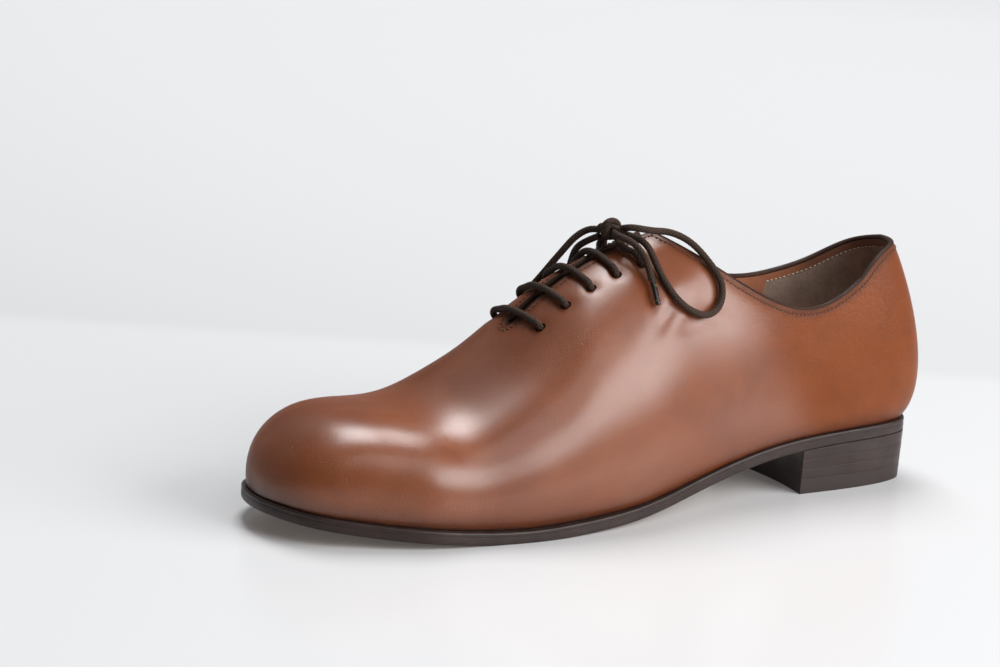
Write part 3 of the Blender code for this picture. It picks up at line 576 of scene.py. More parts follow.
# The knot's strands in millimetres from its middle: over, under, and the first tie
KNOT_STRANDS = (
    ((0.8, -7.0, -0.4), (1.2, -4.2, 1.3), (0.6, 0.0, 1.7), (-0.8, 4.0, 1.0), (-1.6, 7.0, -0.6)),
    ((-1.0, -7.2, -1.6), (-1.0, -4.0, -0.9), (0.2, 0.0, -1.0), (1.2, 4.0, -0.9), (1.6, 7.2, -1.6)),
    ((2.6, -6.0, -3.4), (1.4, -2.5, -2.9), (-0.6, 2.5, -2.6), (-2.4, 6.0, -3.4)),
)

# Sole edges and heel layers
OUTSOLE_BEVEL = 0.6 * MM
SEAM_BEVEL = 0.1 * MM
SOFT_BEVEL = 0.5 * MM
SOLE_BULGE = 0.12 * MM
INSOLE_CUP = 1.1 * MM
HEEL_ROUNDING = 0.07 * MM
HEEL_SWELL = 0.04 * MM
HEEL_RIMS = (
    (0.0, HEEL_ROUNDING), (0.03, HEEL_ROUNDING * 0.3), (0.09, 0.0), (0.5, -HEEL_SWELL), (0.91, 0.0),
    (0.97, HEEL_ROUNDING * 0.3), (1.0, HEEL_ROUNDING),
)

# Soft dents and swells left by lasting and lacing: place along the last, across from the ridge over the face
# (outer side positive), half lengths, turn of the long axis from the last's length, and depth;
# troughs are negative
Fold = namedtuple("Fold", "along across long wide turn depth")
FOLDS = (
    Fold(0.472, 29.0, 11.0, 3.2, 82, -0.95),
    Fold(0.452, 40.5, 9.0, 3.0, 36, -1.05),
    Fold(0.414, 46.5, 10.0, 3.2, 6, -1.00),
    Fold(0.376, 44.5, 8.0, 3.4, -34, -0.60),
    Fold(0.420, 32.0, 13.0, 9.0, 10, 1.05),
    Fold(0.505, 33.0, 16.0, 8.0, 75, 0.45),
    Fold(0.538, 34.0, 18.0, 7.5, 72, -0.22),
    Fold(0.572, 41.0, 22.0, 9.0, 68, 0.25),
    Fold(0.614, 34.0, 20.0, 8.5, 66, -0.28),
    Fold(0.640, 20.0, 14.0, 8.0, 58, 0.22),
    Fold(0.770, 50.0, 15.0, 8.0, 86, -0.35),
    Fold(0.818, 46.0, 15.0, 7.5, 86, 0.40),
    Fold(0.868, 40.0, 16.0, 7.0, 88, -0.45),
    Fold(0.470, -30.0, 14.0, 5.0, -78, -0.55),
    Fold(0.425, -34.0, 14.0, 9.0, -10, 0.50),
    Fold(0.560, -38.0, 20.0, 7.5, -68, 0.40),
    Fold(0.610, -34.0, 20.0, 7.5, -66, -0.45),
    Fold(0.790, -48.0, 15.0, 8.0, -86, -0.30),
    Fold(0.250, 78.0, 22.0, 14.0, 20, -0.35),
    Fold(0.250, -74.0, 22.0, 14.0, -20, -0.35),
)


def sole_alongs(count):
    """Places along a sole, closer together at the round ends, with the flat spot's ends among them."""
    alongs = (1 - np.cos(np.linspace(0, math.pi, count))) / 2
    for flat in FLAT_SPOT:
        alongs[np.abs(alongs - flat).argmin()] = flat
    return alongs


def edge_reach(along):
    return SOLE_REACH * edge_share(along)


def work_out_shift():
    """From last coordinates to the frame: the outsole's own lowest corner against its solid's."""
    alongs = sole_alongs(SOLE_COLUMNS)
    edges = [outline_point(alongs, side, edge_reach(alongs)) for side in (OUTER, INNER)]
    low = np.concatenate(edges).min(0)
    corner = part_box("outsole")[0]
    return np.array([corner.x - low[0], corner.y - low[1], 0.0])


SHIFT = work_out_shift()


def across_of(station, share, side):
    """Distance over the face from the ridge to each place, by station."""
    shares = np.linspace(1, 0, SECTION_STEPS)
    flat_station, flat_share = (part.ravel() for part in np.broadcast_arrays(station, share))
    unique, places = np.unique(flat_station, return_inverse=True)
    section = wall(unique[:, None], shares[None], side)
    steps = np.linalg.norm(np.diff(section, axis=1), axis=2)
    lengths = np.concatenate([np.zeros((len(unique), 1)), np.cumsum(steps, 1)], 1)
    place = (1 - np.clip(flat_share, 0, 1)) * (len(shares) - 1)
    low = np.minimum(place.astype(int), len(shares) - 2)
    part = place - low
    found = lengths[places, low] * (1 - part) + lengths[places, low + 1] * part
    return found.reshape(np.broadcast(station, share).shape) * side


def relief(along, across):
    """Height of the folds at places on the upper."""
    height = np.zeros(np.broadcast(along, across).shape)
    for fold in FOLDS:
        x = (along - fold.along) * LAST_LENGTH / MM
        y = across / MM - fold.across
        turn = math.radians(fold.turn)
        u = x * math.cos(turn) + y * math.sin(turn)
        v = y * math.cos(turn) - x * math.sin(turn)
        height = height + fold.depth * np.exp(-(u / fold.long) ** 2 - (v / fold.wide) ** 2)
    return height * MM


def surface(station, share, side, lift=0.0):
    """Point on the folded outer face of the upper, or lifted off it along its normal."""
    station, share = np.broadcast_arrays(np.asarray(station, float), np.asarray(share, float))
    along = plane(station)[0]
    raised = relief(along, across_of(station, share, side)) * np.clip((1 - along) / FOLDS_FADE, 0, 1)
    away = (raised + lift)[..., None] * normal(station, np.minimum(share, NEAR_RIDGE), side)
    return wall(station, share, side) + away


def to_frame(points):
    return np.asarray(points) + SHIFT


def new_object(name, data):
    made = bpy.data.objects.new(name, data)
    bpy.context.scene.collection.objects.link(made)
    return made


def add_mesh(name, points, faces, materials, uvs=None, sharp=SHARP_ANGLE):
    """A piece from its points in last coordinates and its faces; uvs maps a layer's name to a pair for each
    point."""
    data = bpy.data.meshes.new(name)
    data.from_pydata(to_frame(points).reshape(-1, 3).tolist(), [], [list(face) for face in faces])
    for layer, values in (uvs or {}).items():
        corners = np.zeros(len(data.loops), np.int32)
        data.loops.foreach_get("vertex_index", corners)
        made = data.uv_layers.new(name=layer)
        made.data.foreach_set("uv", np.asarray(values, np.float32)[corners].ravel())
    data.shade_smooth()
    data.set_sharp_from_angle(angle=math.radians(sharp))
    for finish in materials:
        data.materials.append(finish)
    piece = new_object(name, data)
    return piece


def welded(piece, distance, sharp=None, split_caps=False):
    """Joins the points of a grid that meet, and turns its faces out."""
    build = bmesh.new()
    build.from_mesh(piece.data)
    bmesh.ops.remove_doubles(build, verts=build.verts, dist=distance)
    if split_caps:
        bmesh.ops.triangulate(build, faces=[face for face in build.faces if len(face.verts) > 4])
    bmesh.ops.recalc_face_normals(build, faces=build.faces)
    build.to_mesh(piece.data)
    build.free()
    piece.data.shade_smooth()
    if sharp is not None:
        piece.data.set_sharp_from_angle(angle=math.radians(sharp))


def grid_faces(rows, columns, closed_rows=False, closed_columns=False):
    """Quads of a grid whose points run row by row."""
    last_row = rows if closed_rows else rows - 1
    last_column = columns if closed_columns else columns - 1
    i, j = np.meshgrid(np.arange(last_row), np.arange(last_column), indexing="ij")
    next_i, next_j = (i + 1) % rows, (j + 1) % columns
    corners = (i * columns + j, i * columns + next_j, next_i * columns + next_j, next_i * columns + j)
    return np.stack(corners, -1).reshape(-1, 4)


def tube_faces(rings, sides):
    """Faces of a tube whose ends are closed."""
    faces = grid_faces(rings, sides, closed_columns=True).tolist()
    faces.append(list(range(sides))[::-1])
    faces.append([(rings - 1) * sides + i for i in range(sides)])
    return faces


def round_angles(sides):
    return np.linspace(0, 2 * math.pi, sides, endpoint=False)


def ring_out(side, rise, sides):
    """Directions all round a line, at each of its points."""
    angles = round_angles(sides)[None, :, None]
    return side[:, None] * np.cos(angles) + rise[:, None] * np.sin(angles)


def raised_plan(plan, bottom, top, share):
    """A plan's points at a share of the height between two surfaces."""
    places = np.clip(plan[:, 0] / LAST_LENGTH, 0, 1)
    heights = bottom(places) * (1 - share) + top(places) * share
    return np.concatenate([plan, heights[:, None]], 1)


def thicken(piece, thickness, offset=-1):
    layer = piece.modifiers.new("layer", "SOLIDIFY")
    layer.thickness = thickness
    layer.offset = offset


def keep_modified(piece):
    """Makes the piece's modifiers part of its mesh."""
    bpy.context.view_layer.update()
    data = bpy.data.meshes.new_from_object(piece.evaluated_get(bpy.context.evaluated_depsgraph_get()))
    piece.modifiers.clear()
    piece.data = data
    data.shade_smooth()
    data.set_sharp_from_angle(angle=math.radians(SHARP_ANGLE))


class Nodes:
    """Short ways to add and link shader nodes of one material."""

    def __init__(self, name):
        self.material = bpy.data.materials.new(name)
        self.material.use_nodes = True
        self.tree = self.material.node_tree
        self.shader = self.tree.nodes["Principled BSDF"]

    def put(self, socket, value):
        if isinstance(value, bpy.types.NodeSocket):
            self.tree.links.new(value, socket)
        elif isinstance(value, (tuple, list)) and len(value) == 3 and socket.type == "RGBA":
            socket.default_value = (*value, 1)
        else:
            socket.default_value = value

    def set(self, **values):
        for name, value in values.items():
            self.put(self.shader.inputs[name.replace("_", " ")], value)

    def add(self, kind, settings=None, **values):
        node = self.tree.nodes.new("ShaderNode" + kind)
        for name, value in (settings or {}).items():
            setattr(node, name, value)
        for name, value in values.items():
            self.put(node.inputs[name.replace("_", " ")], value)
        return node

    def math(self, operation, first, second=0.0):
        node = self.add("Math", {"operation": operation})
        self.put(node.inputs[0], first)
        self.put(node.inputs[1], second)
        return node.outputs[0]

    def noise(self, place, scale, detail=3.0, roughness=0.5, distortion=0.0):
        return self.add(
            "TexNoise", Vector=place, Scale=scale, Detail=detail, Roughness=roughness,
            Distortion=distortion).outputs["Fac"]

    def place(self, scale=(1, 1, 1)):
        """The piece's own coordinates, stretched."""
        source = self.add("TexCoord").outputs["Object"]
        return self.add("Mapping", Vector=source, Scale=scale).outputs["Vector"]

    def uv(self, layer):
        """Both values of a UV layer."""
        node = self.add("UVMap", {"uv_map": layer})
        split = self.add("SeparateXYZ", Vector=node.outputs["UV"])
        return split.outputs["X"], split.outputs["Y"]

    def ramp(self, value, low, high, to_low=0.0, to_high=1.0):
        """A smooth step between two values."""
        return self.add(
            "MapRange", {"interpolation_type": "SMOOTHSTEP"}, Value=value, From_Min=low, From_Max=high,
            To_Min=to_low, To_Max=to_high).outputs["Result"]

    def bell(self, value, centre, width):
        """1 at the centre, falling away smoothly to nothing."""
        away = self.math("ABSOLUTE", self.math("SUBTRACT", value, centre))
        return self.ramp(away, 0.0, width, 1.0, 0.0)

    def mix(self, share, first, second):
        node = self.add("Mix", {"data_type": "RGBA"})
        self.put(node.inputs["Factor"], share)
        self.put(node.inputs["A"], first)
        self.put(node.inputs["B"], second)
        return node.outputs["Result"]

    def bump(self, height, distance, strength=1.0, below=None):
        node = self.add("Bump", Strength=strength, Distance=distance, Height=height)
        if below is not None:
            self.put(node.inputs["Normal"], below)
        return node.outputs["Normal"]


# The waxed gloss ends at the heel stiffener's front edge, a line over the side: its place along the last at
# the ridge and how far it leans back for each millimetre over the face
COUNTER_EDGE = 0.418
COUNTER_SLOPE = -0.00175
CALF_TONES = {
    "light": (0.228, 0.057, 0.012),
    "middle": (0.182, 0.041, 0.007),
    "warm": (0.214, 0.047, 0.006),
    "dark": (0.070, 0.016, 0.005),
}


def calf_material():
    """Burnished calf: cloudy cognac tones, darker along the edges, with fine pores and a waxed gloss."""
    calf = Nodes("burnished_calf")
    place = calf.place()
    from_edge, from_feather = calf.uv("edge")
    clouds = calf.noise(place, 22.0, 4.0, 0.55, 0.6)
    drift = calf.noise(calf.place((30, 55, 42)), 1.0, 5.0, 0.62, 1.2)
    tone = calf.mix(calf.ramp(clouds, 0.36, 0.64), CALF_TONES["middle"], CALF_TONES["light"])
    tone = calf.mix(calf.ramp(drift, 0.42, 0.70), tone, CALF_TONES["warm"])
    wide_feather = calf.ramp(from_feather, 0.0, 9.0, 0.65, 0.0)
    near_feather = calf.math("MAXIMUM", wide_feather, calf.ramp(from_feather, 0.4, 1.8, 1.0, 0.0))
    near_edge = calf.ramp(from_edge, 0.0, 5.5, 0.75, 0.0)
    smudge = calf.ramp(calf.noise(place, 70.0, 3.0, 0.6, 0.4), 0.2, 0.7, 0.55, 1.0)
    burnish = calf.math("MULTIPLY", calf.math("MAXIMUM", near_feather, near_edge), smudge)
    tone = calf.mix(burnish, tone, CALF_TONES["dark"])
    flecks = calf.noise(place, 520.0, 2.0, 0.5)
    tone = calf.mix(calf.ramp(flecks, 0.62, 0.78, 0.0, 0.22), tone, CALF_TONES["warm"])
    cells = calf.add("TexVoronoi", {"feature": "DISTANCE_TO_EDGE"}, Scale=1500.0, Vector=place)
    fine_grain = calf.math("MULTIPLY", calf.noise(place, 1300.0, 3.0, 0.6), 1.2)
    grain = calf.math("ADD", calf.ramp(cells.outputs["Distance"], 0.0, 0.12), fine_grain)
    waves = calf.noise(calf.place((85, 85, 85)), 1.0, 3.0, 0.5, 0.3)
    groove = calf.bell(from_edge, STITCH_INSET / MM, 0.55)
    bump = calf.bump(grain, 0.00016, 0.8)
    bump = calf.bump(waves, 0.00035, 0.35, bump)
    bump = calf.bump(calf.math("SUBTRACT", 1.0, groove), 0.00016, 0.9, bump)
    rough = calf.ramp(calf.noise(place, 40.0, 4.0, 0.6), 0.3, 0.7, 0.34, 0.42)
    along, across = calf.uv("last")
    lean = calf.math("MULTIPLY", calf.math("ABSOLUTE", across), COUNTER_SLOPE)
    gloss = calf.ramp(calf.math("SUBTRACT", along, lean), COUNTER_EDGE - 0.085, COUNTER_EDGE + 0.035)
    facing = calf.add("LayerWeight", Blend=0.5).outputs["Facing"]
    wax = calf.math("MULTIPLY", gloss, calf.ramp(facing, 0.42, 0.72, 1.0, 0.05))
    wax = calf.math("MULTIPLY", wax, calf.ramp(from_edge, 1.0, 8.0, 0.25, 1.0))
    calf.set(Base_Color=tone, Roughness=rough, Normal=bump, Coat_Roughness=0.33)
    calf.set(Coat_Weight=calf.ramp(wax, 0.0, 1.0, 0.04, 1.0), Specular_IOR_Level=0.2)
    return calf.material


def plain_leather(name, base, other, roughness, grain_scale=1200.0, depth=0.00004, specular=0.5):
    """A leather of two close tones with its own grain."""
    leather = Nodes(name)
    place = leather.place()
    tone = leather.mix(leather.ramp(leather.noise(place, 60.0, 4.0, 0.6, 0.4), 0.3, 0.7), base, other)
    grain = leather.noise(place, grain_scale, 4.0, 0.65)
    rough = leather.ramp(leather.noise(place, 150.0, 3.0), 0.3, 0.7, roughness - 0.05, roughness + 0.05)
    leather.set(Base_Color=tone, Roughness=rough, Normal=leather.bump(grain, depth, 0.7))
    leather.set(Specular_IOR_Level=specular)
    return leather.material


def edge_material():
    """Waxed sole edge: near black brown with fine lengthwise strokes."""
    edge = Nodes("waxed_sole_edge")
    place = edge.place()
    strokes = edge.noise(edge.place((60, 60, 1500)), 1.0, 3.0, 0.6)
    blotches = edge.ramp(edge.noise(place, 90.0, 4.0, 0.6), 0.3, 0.7)
    tone = edge.mix(blotches, (0.020, 0.0108, 0.0090), (0.032, 0.0180, 0.0145))
    tone = edge.mix(edge.ramp(strokes, 0.55, 0.8, 0.0, 0.5), tone, (0.046, 0.029, 0.024))
    rough = edge.ramp(edge.noise(place, 130.0, 3.0), 0.3, 0.7, 0.34, 0.5)
    bump = edge.bump(strokes, 0.00008, 0.5)
    bump = edge.bump(edge.noise(place, 420.0, 4.0, 0.65), 0.00006, 0.5, bump)
    edge.set(Base_Color=tone, Roughness=rough, Normal=bump, Specular_IOR_Level=0.3, Coat_Weight=0.05)
    edge.set(Coat_Roughness=0.3)
    return edge.material


def rubber_material():
    rubber = Nodes("heel_rubber")
    place = rubber.place()
    bump = rubber.bump(rubber.noise(place, 1500.0, 3.0, 0.6), 0.00005, 0.6)
    tone = rubber.mix(rubber.noise(place, 200.0), (0.020, 0.0125, 0.0105), (0.031, 0.019, 0.016))
    rubber.set(Base_Color=tone, Specular_IOR_Level=0.36, Roughness=0.45, Normal=bump)
    return rubber.material


def lining_material():
    """Lining leather, with taupe suede in the heel below a leather strip along the rim."""
    lining = Nodes("leather_and_suede_lining")
    place = lining.place()
    from_edge, station = lining.uv("rim")
    in_heel = lining.ramp(station, SUEDE_END - 0.004, SUEDE_END + 0.004, 1.0, 0.0)
    below_strip = lining.ramp(from_edge, SUEDE_START / MM - 0.2, SUEDE_START / MM + 0.2)
    suede = lining.math("MULTIPLY", in_heel, below_strip)
    mottle = lining.ramp(lining.noise(place, 110.0, 4.0, 0.6, 0.6), 0.3, 0.7)
    nap = lining.noise(place, 900.0, 5.0, 0.75)
    taupe = lining.mix(mottle, (0.250, 0.180, 0.137), (0.350, 0.263, 0.208))
    taupe = lining.mix(lining.ramp(nap, 0.35, 0.75, 0.0, 0.45), taupe, (0.44, 0.345, 0.285))
    tan = lining.mix(mottle, (0.40, 0.155, 0.078), (0.33, 0.122, 0.060))
    worn = lining.ramp(station, 0.75, SUEDE_END, 0.8, 0.0)
    tan = lining.mix(worn, tan, (0.145, 0.062, 0.036))
    rough = lining.ramp(suede, 0.0, 1.0, 0.5, 0.9)
    depth = lining.ramp(suede, 0.0, 1.0, 0.2, 0.9)
    step = lining.bump(lining.math("SUBTRACT", 1.0, suede), 0.0004, 0.8, lining.bump(nap, 0.00018, depth))
    lining.set(Base_Color=lining.mix(suede, tan, taupe), Roughness=rough, Normal=step, Sheen_Weight=0.15)
    lining.set(Sheen_Roughness=0.5)
    return lining.material


def lace_material():
    """Waxed dark brown braid: the strands are in the mesh, with painted shade between them; the threads are
    bump.
    """
    lace = Nodes("braided_lace")
    around, run = lace.uv("braid")
    place = lace.add("CombineXYZ", X=around, Y=run, Z=0.0).outputs["Vector"]
    slanted = lace.add("Mapping", Vector=place, Scale=(9.0, 1.6, 1.0), Rotation=(0, 0, 0.5))
    threads = lace.noise(slanted.outputs["Vector"], 1.0, 2.0, 0.6)
    turns = lace.math("MULTIPLY", around, BRAID_STRANDS / LACE_DIAMETER * MM)
    phase = lace.math("MULTIPLY", run, 2 * math.pi * MM / BRAID_PITCH)
    strands = [lace.math("COSINE", lace.math(way, turns, phase)) for way in ("ADD", "SUBTRACT")]
    strand = lace.math("MAXIMUM", *strands)
    fuzz = lace.noise(lace.place(), 2600.0, 3.0, 0.7)
    # Painted shade: near black in the grooves between the strands, the lace's own brown on their crowns
    tone = lace.mix(lace.ramp(strand, -0.1, 0.95), (0.007, 0.0036, 0.0024), (0.058, 0.033, 0.022))
    tone = lace.mix(lace.ramp(threads, 0.45, 0.75, 0.0, 0.6), tone, (0.085, 0.052, 0.037))
    tone = lace.mix(lace.ramp(fuzz, 0.55, 0.8, 0.0, 0.35), tone, (0.105, 0.070, 0.052))
    bump = lace.bump(lace.math("ADD", threads, lace.math("MULTIPLY", fuzz, 0.9)), 0.00022, 0.9)
    lace.set(Base_Color=tone, Roughness=0.6, Normal=bump, Specular_IOR_Level=0.18)
    return lace.material


def aglet_material():
    """Black shrunk sheath with a few ochre specks."""
    aglet = Nodes("aglet_sheath")
    place = aglet.place()
    specks = aglet.ramp(aglet.noise(place, 700.0, 1.0), 0.66, 0.70)
    tone = aglet.mix(specks, (0.012, 0.010, 0.010), (0.35, 0.20, 0.03))
    aglet.set(Base_Color=tone, Roughness=0.22, Coat_Weight=0.3, Coat_Roughness=0.1)
    aglet.set(Normal=aglet.bump(aglet.noise(place, 900.0), 0.00004, 0.5))
    return aglet.material


def thread_material(name, base, other):
    thread = Nodes(name)
    place = thread.place()
    tone = thread.mix(thread.noise(place, 2500.0, 2.0), base, other)
    thread.set(Base_Color=tone, Roughness=0.6, Normal=thread.bump(thread.noise(place, 6000.0), 0.00003, 0.6))
    return thread.material


finishes = {
    "calf": calf_material(),
    "trim": plain_leather(
        "binding_leather", (0.026, 0.0115, 0.0070), (0.042, 0.019, 0.011), 0.5, 1400.0, specular=0.12),
    "tongue": plain_leather("tongue_leather", (0.050, 0.024, 0.016), (0.075, 0.036, 0.024), 0.34, 1100.0),
    "lining": lining_material(),
    "insole": plain_leather("insole_leather", (0.42, 0.245, 0.135), (0.35, 0.195, 0.105), 0.52, 800.0),
    "edge": edge_material(),
    "bottom": plain_leather("sole_leather", (0.36, 0.22, 0.12), (0.29, 0.165, 0.085), 0.55, 700.0, 0.00006),
    "rubber": rubber_material(),
    "lace": lace_material(),
    "aglet": aglet_material(),
    "dark_thread": thread_material("dark_thread", (0.050, 0.024, 0.015), (0.085, 0.042, 0.027)),
    "pale_thread": thread_material("pale_thread", (0.66, 0.55, 0.43), (0.52, 0.42, 0.31)),
}


# Camera of the photograph, in last coordinates, with its focal length as a share of the frame's width
EYE = (988.43 * MM, 1255.73 * MM, 419.34 * MM)
TO_RIGHT = (-0.84897, 0.52488, 0.06117)
TO_TOP = (-0.07041, -0.22708, 0.97133)
FOCAL_SHARE = 4.0343
SENSOR = 36.0


def add_camera():
    data = bpy.data.cameras.new("camera")
    data.sensor_width = SENSOR
    data.lens = FOCAL_SHARE * SENSOR
    data.clip_start = 0.05
    data.clip_end = 20
    camera = new_object("camera", data)
    right, top = Vector(TO_RIGHT).normalized(), Vector(TO_TOP)
    back = right.cross(top).normalized()
    top = back.cross(right)
    turn = Matrix((right, top, back)).transposed()
    camera.matrix_world = Matrix.Translation(Vector(to_frame(EYE))) @ turn.to_4x4()
    bpy.context.scene.camera = camera


add_camera()


def frames_along(points):
    """Unit side and rise vectors that turn as little as possible along a line."""
    ahead = unit(np.gradient(points, axis=0))
    side = np.cross(ahead[0], [0.0, 0.0, 1.0])
    if np.linalg.norm(side) < 0.1:
        side = np.cross(ahead[0], [1.0, 0.0, 0.0])
    sides = [unit(side)]
    for direction in ahead[1:]:
        sides.append(unit(sides[-1] - direction * (sides[-1] @ direction)))
    sides = np.array(sides)
    return sides, np.cross(ahead, sides)


def braid_height(around, run):
    """Strands of a round braid crossing over and under, as a share of the relief."""
    turns = around * BRAID_STRANDS / 2
    phase = run / BRAID_PITCH * 2 * math.pi
    return np.maximum(np.cos(turns + phase), np.cos(turns - phase))


def braided_tube(route, taper=None):
    """Points, faces, UVs and line of the braided lace on a route; taper scales its radius along the run."""
    radius = LACE_DIAMETER / 2
    whole = run_lengths(route)[-1]
    count = max(int(whole / LACE_STEP), 4)
    line = smooth_route(route, count)
    run = np.linspace(0, whole, count)
    angles = round_angles(LACE_SIDES)
    height = braid_height(angles[None], run[:, None])
    scale = np.ones(count) if taper is None else taper(run, whole)
    radii = radius * scale[:, None] * (1 + BRAID_RELIEF * (height - 1))
    points = line[:, None] + ring_out(*frames_along(line), LACE_SIDES) * radii[..., None]
    uv = np.stack(np.broadcast_arrays(angles[None] * radius / MM, run[:, None] / MM), -1)
    return points.reshape(-1, 3), tube_faces(count, LACE_SIDES), uv.reshape(-1, 2), line


def joined(parts):
    """Several tubes as one mesh's points, faces and UVs."""
    points, faces, uvs = [], [], []
    start = 0
    for part_points, part_faces, part_uvs, _ in parts:
        points.append(part_points)
        uvs.append(part_uvs)
        faces += [[index + start for index in face] for face in part_faces]
        start += len(part_points)
    return np.concatenate(points), faces, np.concatenate(uvs)


def knot_frame():
    """Centre of the knot and its axes: toward the toe, across the shoe, and up along the face's normal."""
    centre = skin(KNOT.along, KNOT.across * MM, KNOT.lift * MM)
    up = unit(centre - skin(KNOT.along, KNOT.across * MM, 0))
    across = unit(np.cross(up, [1.0, 0.0, 0.0]))
    return centre, np.cross(across, up), across, up


def lay_points(lay):
    return [skin(row.along, row.across * MM, row.lift * MM) for row in lay]


def into_knot(points):
    """Leads a strand's start into the knot."""
    start = np.asarray(points[0])
    return np.concatenate([[start + (knot_frame()[0] - start) * INTO_KNOT], points])


def lace_route():
    """One lace through the eyelets: straight bars outside, runs under the facings, and both ends out at the
    top pair."""
    over = LACE_DIAMETER / 2 + LACE_CLEARANCE
    under = -(WALL + LACE_DIAMETER / 2 + 2 * GAP)
    row = EYELET_ROW
    bars = EYELETS[:-1]
    turn = LACE_DIAMETER * 0.5

    def hole(along, side, upward):
        lifts = (under + turn, -WALL / 2, over - turn)
        places = [(along, side * row, lift) for lift in lifts]
        return places if upward else places[::-1]

    def bar(along, side):
        spread = (row - turn, row * 0.72, row * 0.36, 0, -row * 0.36, -row * 0.72, -row + turn)
        raised = [over + (BAR_RISE if abs(across) < row / 2 else 0) for across in spread]
        return [(along, side * across, lift) for across, lift in zip(spread, raised)]

    def run(first, second, side):
        shares = (0.14, 0.5, 0.86)
        return [(first + (second - first) * share, side * row, under) for share in shares]

    top = EYELETS[-1]

    def rise(side):
        shares = ((0.002, 0.90, 0), (0.004, 0.72, 1), (0.009, 0.52, 1.6))
        return [(top + ahead, side * row * across, over + up * GAP) for ahead, across, up in shares]

    route = rise(INNER)[::-1] + hole(top, INNER, False)
    for share in (0.06, 0.25, 0.5, 0.75, 0.94):
        along = top + (EYELETS[0] - top) * share
        route.append((along, INNER * row + 2 * row * share, under))
    side = OUTER
    for number, along in enumerate(bars):
        route += hole(along, side, True)
        route += bar(along, side)
        side = -side
        route += hole(along, side, False)
        route += run(along, EYELETS[number + 1], side)
    route += hole(top, side, True) + rise(side)
    return [skin(*place) for place in route]


def add_lace_piece(name, parts, node):
    points, faces, uvs = joined(parts)
    piece = add_mesh(name, points, faces, [finishes["lace"]], {"braid": uvs}, sharp=60)
    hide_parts(node)
    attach(piece, "root")
    return piece


def add_knot():
    """The bow's knot: a band round the crossing strands, over the first tie."""
    centre, ahead, across, up = knot_frame()
    band = [
        (3.1 * math.cos(t) - 0.3, 1.9 * (t / math.pi - 0.9) * 0.55, 2.9 * math.sin(t) + 0.5)
        for t in np.linspace(BAND_START, BAND_END, BAND_POINTS) * 2 * math.pi]
    parts = []
    for strand in (band, *KNOT_STRANDS):
        route = [centre + MM * (ahead * x + across * y + up * z) for x, y, z in strand]
        parts.append(braided_tube(np.array(route)))
    return add_lace_piece("lace_knot_wrap", parts, "lace_knot")


def into_aglet(run, whole):
    """Draws the lace in where its aglet holds it."""
    grip = whole - AGLET_LENGTH
    return np.interp(run, [grip - MM, grip + 0.5 * MM], [1.0, AGLET_SQUEEZE])


def add_laces():
    """The laced part, then knot, loops and ends as the free lace, with their real lengths."""
    bars = into_knot(into_knot(lace_route())[::-1])
    add_lace_piece("laced_bars", [braided_tube(bars)], "lace_bars")
    knot = add_knot()
    loops = (("near_bow_loop", NEAR_LOOP, "near_loop"), ("far_bow_loop", FAR_LOOP, "far_loop"))
    for name, lay, node in loops:
        tube = braided_tube(into_knot(into_knot(lay_points(lay))[::-1]))
        piece = add_lace_piece(name, [tube], node)
    ends = (("near_lace_end", NEAR_END, "near_end"), ("far_lace_end", FAR_END, "far_end"))
    for name, lay, node in ends:
        tube = braided_tube(into_knot(lay_points(lay)), into_aglet)
        piece = add_lace_piece(name, [tube], node)
        tip = add_aglet(name.replace("lace_end", "lace_tip"), tube[3], node.replace("end", "aglet"))


def add_aglet(name, line, node):
    """Shrunk sheath round the last stretch of a lace end, with rounded rims."""
    lengths = run_lengths(line)
    start, end = lengths[-1] - AGLET_LENGTH, lengths[-1]
    runs = np.concatenate([
        start + AGLET_RIM * (1 - np.cos(np.linspace(0, math.pi / 2, AGLET_START_RINGS))),
        np.linspace(start + AGLET_RIM, end - AGLET_RIM, AGLET_RINGS + 2)[1:-1],
        end - AGLET_RIM * (1 - np.sin(np.linspace(0, math.pi / 2, AGLET_TIP_RINGS))),
    ])
    grow = np.concatenate([
        np.sin(np.linspace(0.9, math.pi / 2, AGLET_START_RINGS)),
        np.ones(AGLET_RINGS),
        np.cos(np.linspace(0, 1.25, AGLET_TIP_RINGS)),
    ])
    centres = at_runs(runs, lengths, line)
    centres[-1] += (centres[-1] - centres[-3]) * 1e-3
    out = ring_out(*frames_along(centres), AGLET_SIDES)
    points = centres[:, None] + out * (AGLET_DIAMETER / 2 * grow)[:, None, None]
    tip = add_mesh(name, points, tube_faces(len(runs), AGLET_SIDES), [finishes["aglet"]])
    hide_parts(node)
    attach(tip, "root")
    return tip


add_laces()


def fine_stations(density=1.0):
    """Stations of the fine upper, closer together at the slit's round end."""

    def spread(first, last, columns):
        return np.linspace(first, last, max(int(columns * density), 4) + 1)

    end_radius = SLIT_END_GAP / 2 / LAST_LENGTH
    slit_start = station_of(SLIT_START + COLUMN_MARGIN)
    round_start, round_end = station_of(SLIT_END - end_radius), station_of(SLIT_END)
    turns = spread(0, math.pi / 2, END_COLUMNS)
    return np.concatenate([
        spread(0, 1, FAN_COLUMNS)[:-1],
        spread(1, slit_start, QUARTER_COLUMNS)[:-1],
        spread(slit_start, round_start, SLIT_COLUMNS)[:-1],
        station_of(SLIT_END - end_radius * (1 - np.sin(turns))),
        round_end + (2 - round_end) * spread(0, 1, TOE_COLUMNS)[1:],
    ])


def upper_grid(stations, rows, lift):
    """Points of the upper's face lifted by lift, all round, with their distances across and places along."""
    grids = []
    for side, order in GOING_ROUND:
        at = np.minimum(stations[order], 2)[:, None]
        top = np.minimum(top_share(stations, side), 1)[order]
        share = top[:, None] * np.linspace(0, 1, rows)[None]
        along = np.broadcast_to(plane(at)[0], share.shape)
        grids.append((surface(at, share, side, lift), across_of(at, share, side), along))
    return [np.concatenate(part) for part in zip(*grids)]


